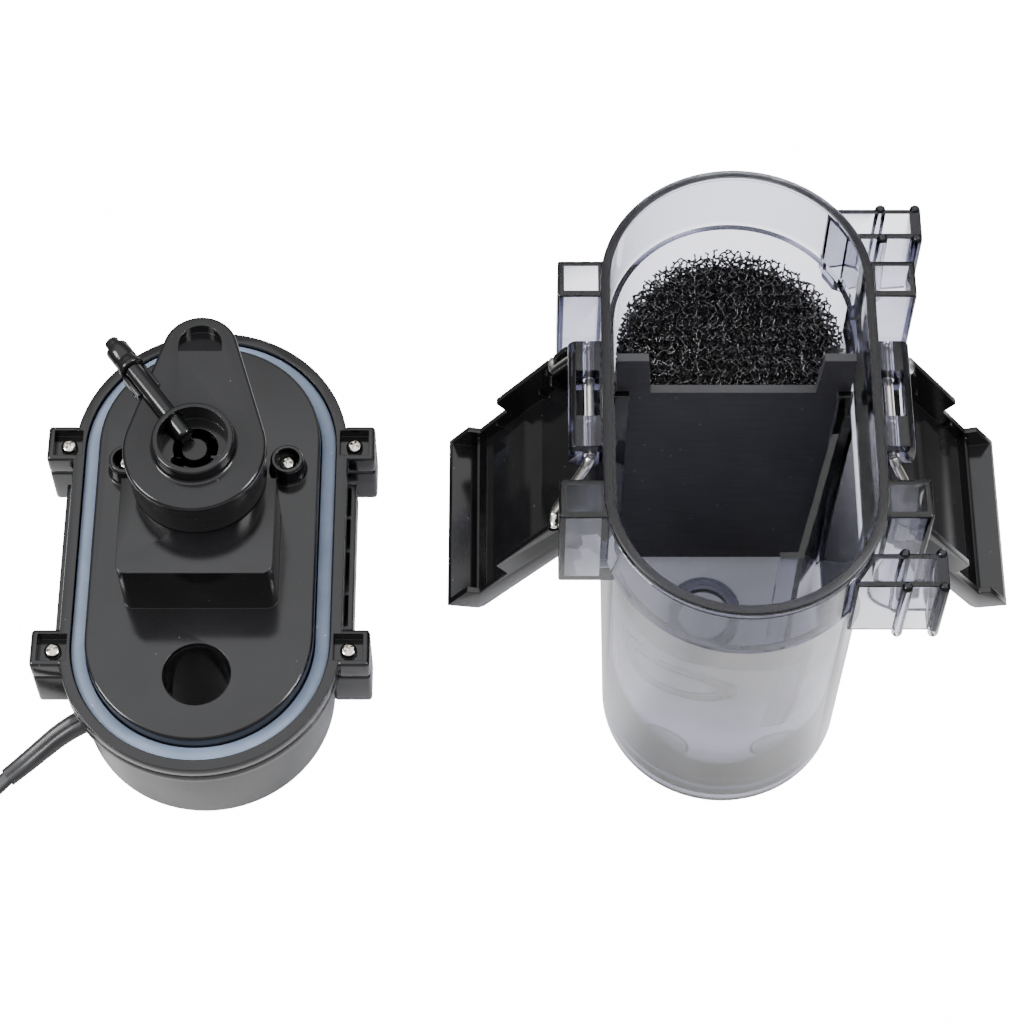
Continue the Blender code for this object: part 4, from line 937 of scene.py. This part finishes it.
def make_casing(black):
    """Motor casing: a drafted tub with latch ledges, screw posts, port holes and the lead's hole."""
    rings = rounded_foot(41.8, 77.9, 0.0, 4.2)
    obj = stack("casing", rings + [(44.0, 80.1, CASING_TOP - 0.2), (43.8, 79.9, CASING_TOP)])
    obj = cut(obj, stack("room", [(37.4, 73.5, 2.4), (39.4, 75.5, 4.4), (41.6, 77.7, 37.0)]))
    lugs = head_lugs(18.0, CASING_TOP, 42.4)
    ledges = []
    for sx in (-1, 1):
        x0, x1 = span(sx, 42.0, 48.8)
        ledge = box("ledge", (x0, -27.5, 23.0), (x1, 27.5, CASING_TOP), 0.5)
        x0, x1 = span(sx, 44.2, 47.0)
        for y0, y1 in ((-26.0, -14.6), (-13.4, 1.4), (2.6, 14.0), (15.2, 26.0)):
            ledge = cut(ledge, box("core", (x0, y0, 24.8), (x1, y1, 37.0)))
        ledges.append(ledge)
    obj = join(obj, *lugs, *ledges)
    for sx in (-1, 1):
        x = sx * BOSS_X
        post = rod("post", (x, BOSS_Y, 1.9), (x, BOSS_Y, 46.9), 4.2)
        obj = drill(join(obj, post), x, BOSS_Y, 34, 48)
    for sx, sy in CORNERS:
        obj = drill(obj, sx * SCREW_X, sy * SCREW_Y, 25, 37)
    obj = drill(obj, 0, PORT_Y, -1, 3.4, PORT_BORE + 2.3, 40)
    obj = drill(obj, 0, TIP_Y, -1, 3.4, OUTLET_BORE + 2.3, 40)
    obj = cut(obj, rod("cord_hole", RELIEF[0], (-49.0, -54.0, 14.5), 4.9))
    finish(obj, black, "head", ["head_casing"], HEAD_X)


def make_plate(black):
    """Base plate: grooved rim, seal groove, raised deck, the block and tower under the pump, and bosses."""
    rings = [(PLATE_W - inset, PLATE_L - inset, z) for inset, z in (
        (0.6, PLATE_LOW), (0.15, 36.15), (0.0, 36.6), (0.0, 39.5), (0.2, 39.8), (0.6, 39.9), (0.6, 40.4),
        (0.2, 40.5), (0.0, 40.8), (0.0, 44.3), (0.2, 44.8), (0.7, PLATE_TOP))]
    obj = join(stack("plate", rings), *head_lugs(PLATE_LOW, PLATE_TOP, 44.5))
    deck = stack("deck", [(DECK_W - inset, DECK_L - inset, z) for inset, z in (
        (0.0, 41.0), (0.0, 48.9), (0.2, 49.35), (0.55, 49.6), (1.0, DECK_TOP))])
    outline = [(25.0, 8.0), (-25.0, 8.0)] + arc(-21.5, -23.1, 3.5, 180, 270, 10)
    outline += arc(21.5, -23.1, 3.5, 270, 360, 10)
    block = soften(prism("block", [outline], 44.7, BLOCK_TOP), 1.25, 60, 4)
    obj = join(obj, deck, block, box("tower", (-18.6, 5.0, 48.7), (18.6, 22.2, BLOCK_TOP), 1.0))
    section = ((0, 6.6), (0.9, 6.5), (1.5, 5.9), (2.2, 5.7), (7.4, 5.6), (7.9, 5.4), (8.3, 5.0))
    for sx in (-1, 1):
        x = sx * BOSS_X
        obj = join(obj, turned("boss", (x, BOSS_Y, 48.7), (x, BOSS_Y, 57.0), section, 40))

    groove = [stadium(SEAL_W + GAP, SEAL_L + GAP), stadium(DECK_W, DECK_L)]
    under = stack("under", [(34.7, 70.8, 35.0), (34.7, 70.8, 47.5)])
    obj = cut(obj, prism("groove", groove, SEAL_LOW - GAP, PLATE_TOP + 1), under,
              box("room", (-22.8, -24.4, 36.0), (22.8, 5.8, 71.8)),
              box("room", (-16.4, 4.5, 36.0), (16.4, 20.0, 71.8)))
    obj = join(obj, rod("cup", (0, PUMP_Y, 44.2), (0, PUMP_Y, BLOCK_TOP), 10.6))
    obj = drill(obj, 0, PUMP_Y, 46.0, 75.0, 9.0, 40)
    obj = drill(obj, 0, PORT_Y, 36.0, 51.0, PORT_BORE, 64)
    obj = drill(obj, 0, TIP_Y, 36.0, 51.0, OUTLET_BORE, 40)
    for sx in (-1, 1):
        obj = drill(drill(obj, sx * BOSS_X, BOSS_Y, 52.5, 58.0, 4.1, 40), sx * BOSS_X, BOSS_Y, 36.0, 57.0)
    for sx, sy in CORNERS:
        x, y = sx * SCREW_X, sy * SCREW_Y
        obj = cut(obj, box("pocket", (x - 4.8, y - 4.8, 41.0), (x + 4.8, y + 4.8, 46.0)))
        obj = drill(obj, x, y, 35.0, 45.0)
    finish(obj, black, "head", ["base_plate"], HEAD_X)


def make_seal(rubber):
    """Seal ring with rounded edges and a top that is very slightly crowned."""
    outer = ((0.35, SEAL_LOW), (0.0, 40.15), (0.0, 43.25), (0.12, 43.5), (0.4, 43.63))
    inner = tuple((SEAL_T - inset, z) for inset, z in reversed(outer))
    section = outer + ((SEAL_T / 2, SEAL_TOP),) + inner
    finish(band("seal", SEAL_W, SEAL_L, section), rubber, "head", ["seal_ring"], HEAD_X)


def cross_cut(half_wide, half_long, z0, z1):
    """One slot of a cross recess, narrower at its foot."""
    corners = ((-1, -1), (1, -1), (1, 1), (-1, 1))
    foot = [(x * half_wide * 0.7, y * half_long * 0.55) for x, y in corners]
    mouth = [(x * half_wide, y * half_long) for x, y in corners]
    return loft("cross", [(foot, z0), (mouth, z1)])


def make_screws(nickel):
    """Pan-head screws with a cross recess: (name, x, y, seat, tip, turn)."""
    places = [(f"corner_screw_{n}", sx * SCREW_X, sy * SCREW_Y, 41.3, 27.0, 17 * n)
              for n, (sx, sy) in enumerate(CORNERS, 1)]
    places += [(f"plate_screw_{n}", sx * BOSS_X, BOSS_Y, 52.8, 37.0, 40 * n)
               for n, sx in enumerate((-1, 1), 1)]
    for name, x, y, seat, tip, turn in places:
        top = seat + 2.1
        rows = [(0.001, tip), (0.7, tip + 0.2), (1.4, tip + 1.6), (1.4, seat), (2.7, seat), (2.8, seat + 0.4),
                (2.75, seat + 0.9), (2.45, seat + 1.5), (1.9, seat + 1.95), (1.2, top), (0.001, top)]
        obj = loft(f"{name}_head", [(circle(0, 0, r, 32), z) for r, z in rows])
        for half_wide, half_long in ((0.5, 1.95), (1.95, 0.5)):
            obj = cut(obj, cross_cut(half_wide, half_long, top - 1.3, top + 0.3))
        finish(place(obj, (x, y, 0), turn), nickel, "head", [name], HEAD_X)


def make_sockets(black):
    """Water sockets through the head, plain bores with softened mouths."""
    for name, y, bore in (("inlet", PORT_Y, PORT_BORE), ("outlet", TIP_Y, OUTLET_BORE)):
        outer = bore + 2.0
        section = ((bore, 0.9), (bore + 0.5, 0.4), (outer, 0.4), (outer, 47.2), (bore + 0.3, 47.2),
                   (bore, 46.9))
        tube = lathe(f"{name}_tube", 0, y, section, 96)
        finish(tube, black, "head", [f"{name}_socket"], HEAD_X)


def make_volute(black):
    """Pump housing: its chamber, the way out to the riser, and the column and leg that carry it."""
    rows = [(teardrop(inset), z) for inset, z in ((1.3, 74.3), (0.9, 74.5), (0.8, 74.9), (0.8, 87.0))]
    obj = loft("volute", rows)
    obj = join(obj, rod("column", (0, TIP_Y, 50.0), (0, TIP_Y, 86.0), TIP_R - 1.4),
               box("leg", (-7.0, 22.5, 50.0), (7.0, 40.7, 75.3), 0.6))
    obj = drill(obj, 0, PUMP_Y, 76.2, 88.0, 18.6, 64)
    obj = drill(obj, 0, PUMP_Y, 73.3, 77.2, 9.2, 40)
    obj = drill(obj, 0, TIP_Y, 48.7, 88.0, OUTLET_BORE, 40)
    obj = cut(obj, box("throat", (2.0, 21.8, 77.2), (11.5, 37.7, 88.0)),
              box("throat", (-2.5, 30.7, 77.2), (7.0, 44.7, 88.0)))
    finish(obj, black, "head", ["volute_housing"], HEAD_X)


def cover_neck():
    """Collar around the pump's eye, with a fillet at its foot and a rounded rim."""
    quarter = [math.radians(a) for a in range(0, 91, 15)]
    foot = [(0.0, 14.3)] + [(1.0 + 1.2 * (1 - math.cos(a)), 14.3 - 1.2 * math.sin(a)) for a in quarter]
    rim = [(5.9 + 0.8 * math.sin(a), 12.3 + 0.8 * math.cos(a)) for a in quarter]
    return turned("neck", (0, PUMP_Y, 90.3), (0, PUMP_Y, NECK_TOP), foot + rim, 96)


def make_cover(black):
    """Teardrop cover of the pump: neck, scoop at its tip, and the air tube's sleeve and slot."""
    rows = [(teardrop(0.3), COVER_LOW), (teardrop(0.05), 87.45), (teardrop(), 87.7)]
    for k in range(8):
        a = math.radians(90 * k / 7)
        z = COVER_TOP - COVER_ROUND + COVER_ROUND * math.sin(a)
        rows.append((teardrop(COVER_ROUND * (1 - math.cos(a))), z))
    obj = join(loft("cover", rows), cover_neck())
    arch = list(reversed(arc(0, 2.3, 7.0, 0, 180, 32)))
    scoop = prism("scoop", [[(-7.0, -2.0)] + arch + [(7.0, -2.0)]], 0.0, 8.0)
    place(scoop, (0, 45.5, COVER_TOP), -17.5, "X")
    arm = place(box("arm", (0.5, -1.8, COVER_LOW), (9.0, 1.8, 89.5), 0.3), (0, PUMP_Y, 0), TUBE_OUT)
    sleeve = box("sleeve", (22.0, -4.3, 87.6), (31.2, 4.3, 92.6), 0.6)
    place(sleeve, (*TUBE_TIP.xy, 0), TUBE_OUT)
    obj = drill(join(obj, sleeve), 0, PUMP_Y, 90.2, 98.0, 11.2, 64)
    obj = drill(obj, 0.4, PUMP_Y, 86.3, 97.0, 7.2, 48)
    obj = cut(drill(obj, -4.6, PUMP_Y - 4.6, 86.3, 97.0, 2.6, 24), scoop)
    obj = join(obj, arm, rod("bush_boss", (0, PUMP_Y, 82.4), (0, PUMP_Y, 89.5), 4.0, steps=32))
    obj = cut(obj, rod("slot", TUBE_TIP - TUBE_ALONG * 1.5, TUBE_END, TUBE_R + GAP))
    obj = drill(obj, 0, PUMP_Y, 81.0, 88.5, 3.0, 32)
    finish(obj, black, "head", ["impeller_cover"], HEAD_X, angle=16.6)


def make_air_tube(black):
    """Air tube with a rounded nose, and the ribbed cap on its far end."""
    cap_at = TUBE_END - TUBE_ALONG * 13.0
    reach = (cap_at - TUBE_TIP).length - GAP
    stem = ((0.0, 1.3), (0.12, 1.9), (0.4, 2.35), (0.8, 2.65), (1.4, 2.82), (1.8, TUBE_R),
            (reach - 0.2, TUBE_R), (reach, 2.6))
    finish(turned("tube", TUBE_TIP, TUBE_END, stem, 48), black, "head", ["air_tube"], HEAD_X)
    cap = ((0, 3.9), (0.2, 4.2), (0.5, 4.3), (1.4, 4.3), (1.65, 4.15), (1.75, 3.92), (3.6, 3.88), (3.8, 3.75),
           (4.1, 3.75), (4.3, 3.88), (9.2, 3.85), (9.6, 3.7), (9.85, 3.3), (9.9, 2.4), (12.5, 2.35),
           (12.85, 2.2), (13.0, 1.8))
    end_cap = turned("tube_cap", cap_at, TUBE_END, cap, 40)
    finish(end_cap, black, "head", ["air_tube_cap"], HEAD_X)


# ---------------- everything

def recolour(names, material):
    """A better material on CAD nodes whose shape is right."""
    for name in names:
        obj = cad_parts[name]
        obj.data.materials.clear()
        obj.data.materials.append(material)


make_camera()
cord_black = plastic("cord_black", (0.022, 0.022, 0.024), 0.42, grain=0.05, dust=0.15, edge=0.1)
plug = make_plug(cord_black)
make_relief(cord_black)
make_cord(cord_black)
make_stage()

gloss = plastic("gloss_black", (0.0045, 0.0045, 0.005), 0.13, grain=0.004, dust=0.22)
lid = plastic("lid_black", (0.0045, 0.0045, 0.005), 0.17, grain=0.008, dust=0.2, edge=0.4, ior=1.42)
satin = plastic("satin_black", (0.004, 0.004, 0.0045), 0.14, grain=0.003, dust=0.2, edge=0.45)
shell = plastic("shell_black", (0.005, 0.005, 0.0055), 0.22, grain=0.012, dust=0.15, edge=0.45)
nickel = metal("nickel", (0.74, 0.71, 0.66), 0.14)
strut = plastic("foam_strut", (0.003, 0.003, 0.0031), 0.17, grain=0.0, dust=0.0, edge=0.05, ior=1.75)
ring_rubber = plastic("ring_rubber", (0.06, 0.062, 0.07), 0.5, grain=0.04, dust=0.1, edge=0.2, shade=1.1)
pale_rubber = plastic("pale_rubber", (0.4, 0.41, 0.43), 0.5, grain=0.04, dust=0.1, edge=0.2, shade=1.1)

make_canister(clear_plastic("clear_smoke"))
make_feet(ring_rubber, pale_rubber)
make_latches(gloss, nickel)
make_foam(strut, foam_core_material("foam_core"))
make_casing(shell)
make_plate(satin)
make_seal(silicone_rubber("silicone"))
make_screws(nickel)
make_sockets(satin)
make_volute(lid)
make_cover(lid)
make_air_tube(lid)

recolour(["divider_plate"], sheet_plastic("charcoal_sheet"))
recolour(["duct_panel"], clear_plastic("clear_duct"))
recolour(["lower_bush", "upper_bush"], plastic("bush_black", (0.01, 0.01, 0.011), 0.45, grain=0.04))
recolour(["impeller", "cord_tie"], satin)
recolour(["stator_core"], metal("lamination", (0.45, 0.45, 0.46), 0.35, 0.3))
recolour(["stator_coil"], winding("copper_winding"))
recolour(["potting_resin"], plastic("resin", (0.02, 0.02, 0.022), 0.25))
recolour(["rotor_magnet"], plastic("ferrite", (0.06, 0.06, 0.064), 0.5, grain=0.06))
recolour(["impeller_shaft"], plastic("ceramic", (0.7, 0.7, 0.67), 0.2, grain=0.005, dust=0.0, shade=1.05))
recolour(["plug_pin_1", "plug_pin_2"], metal("pin_brass", (0.78, 0.6, 0.3), 0.22))

bpy.context.view_layer.update()
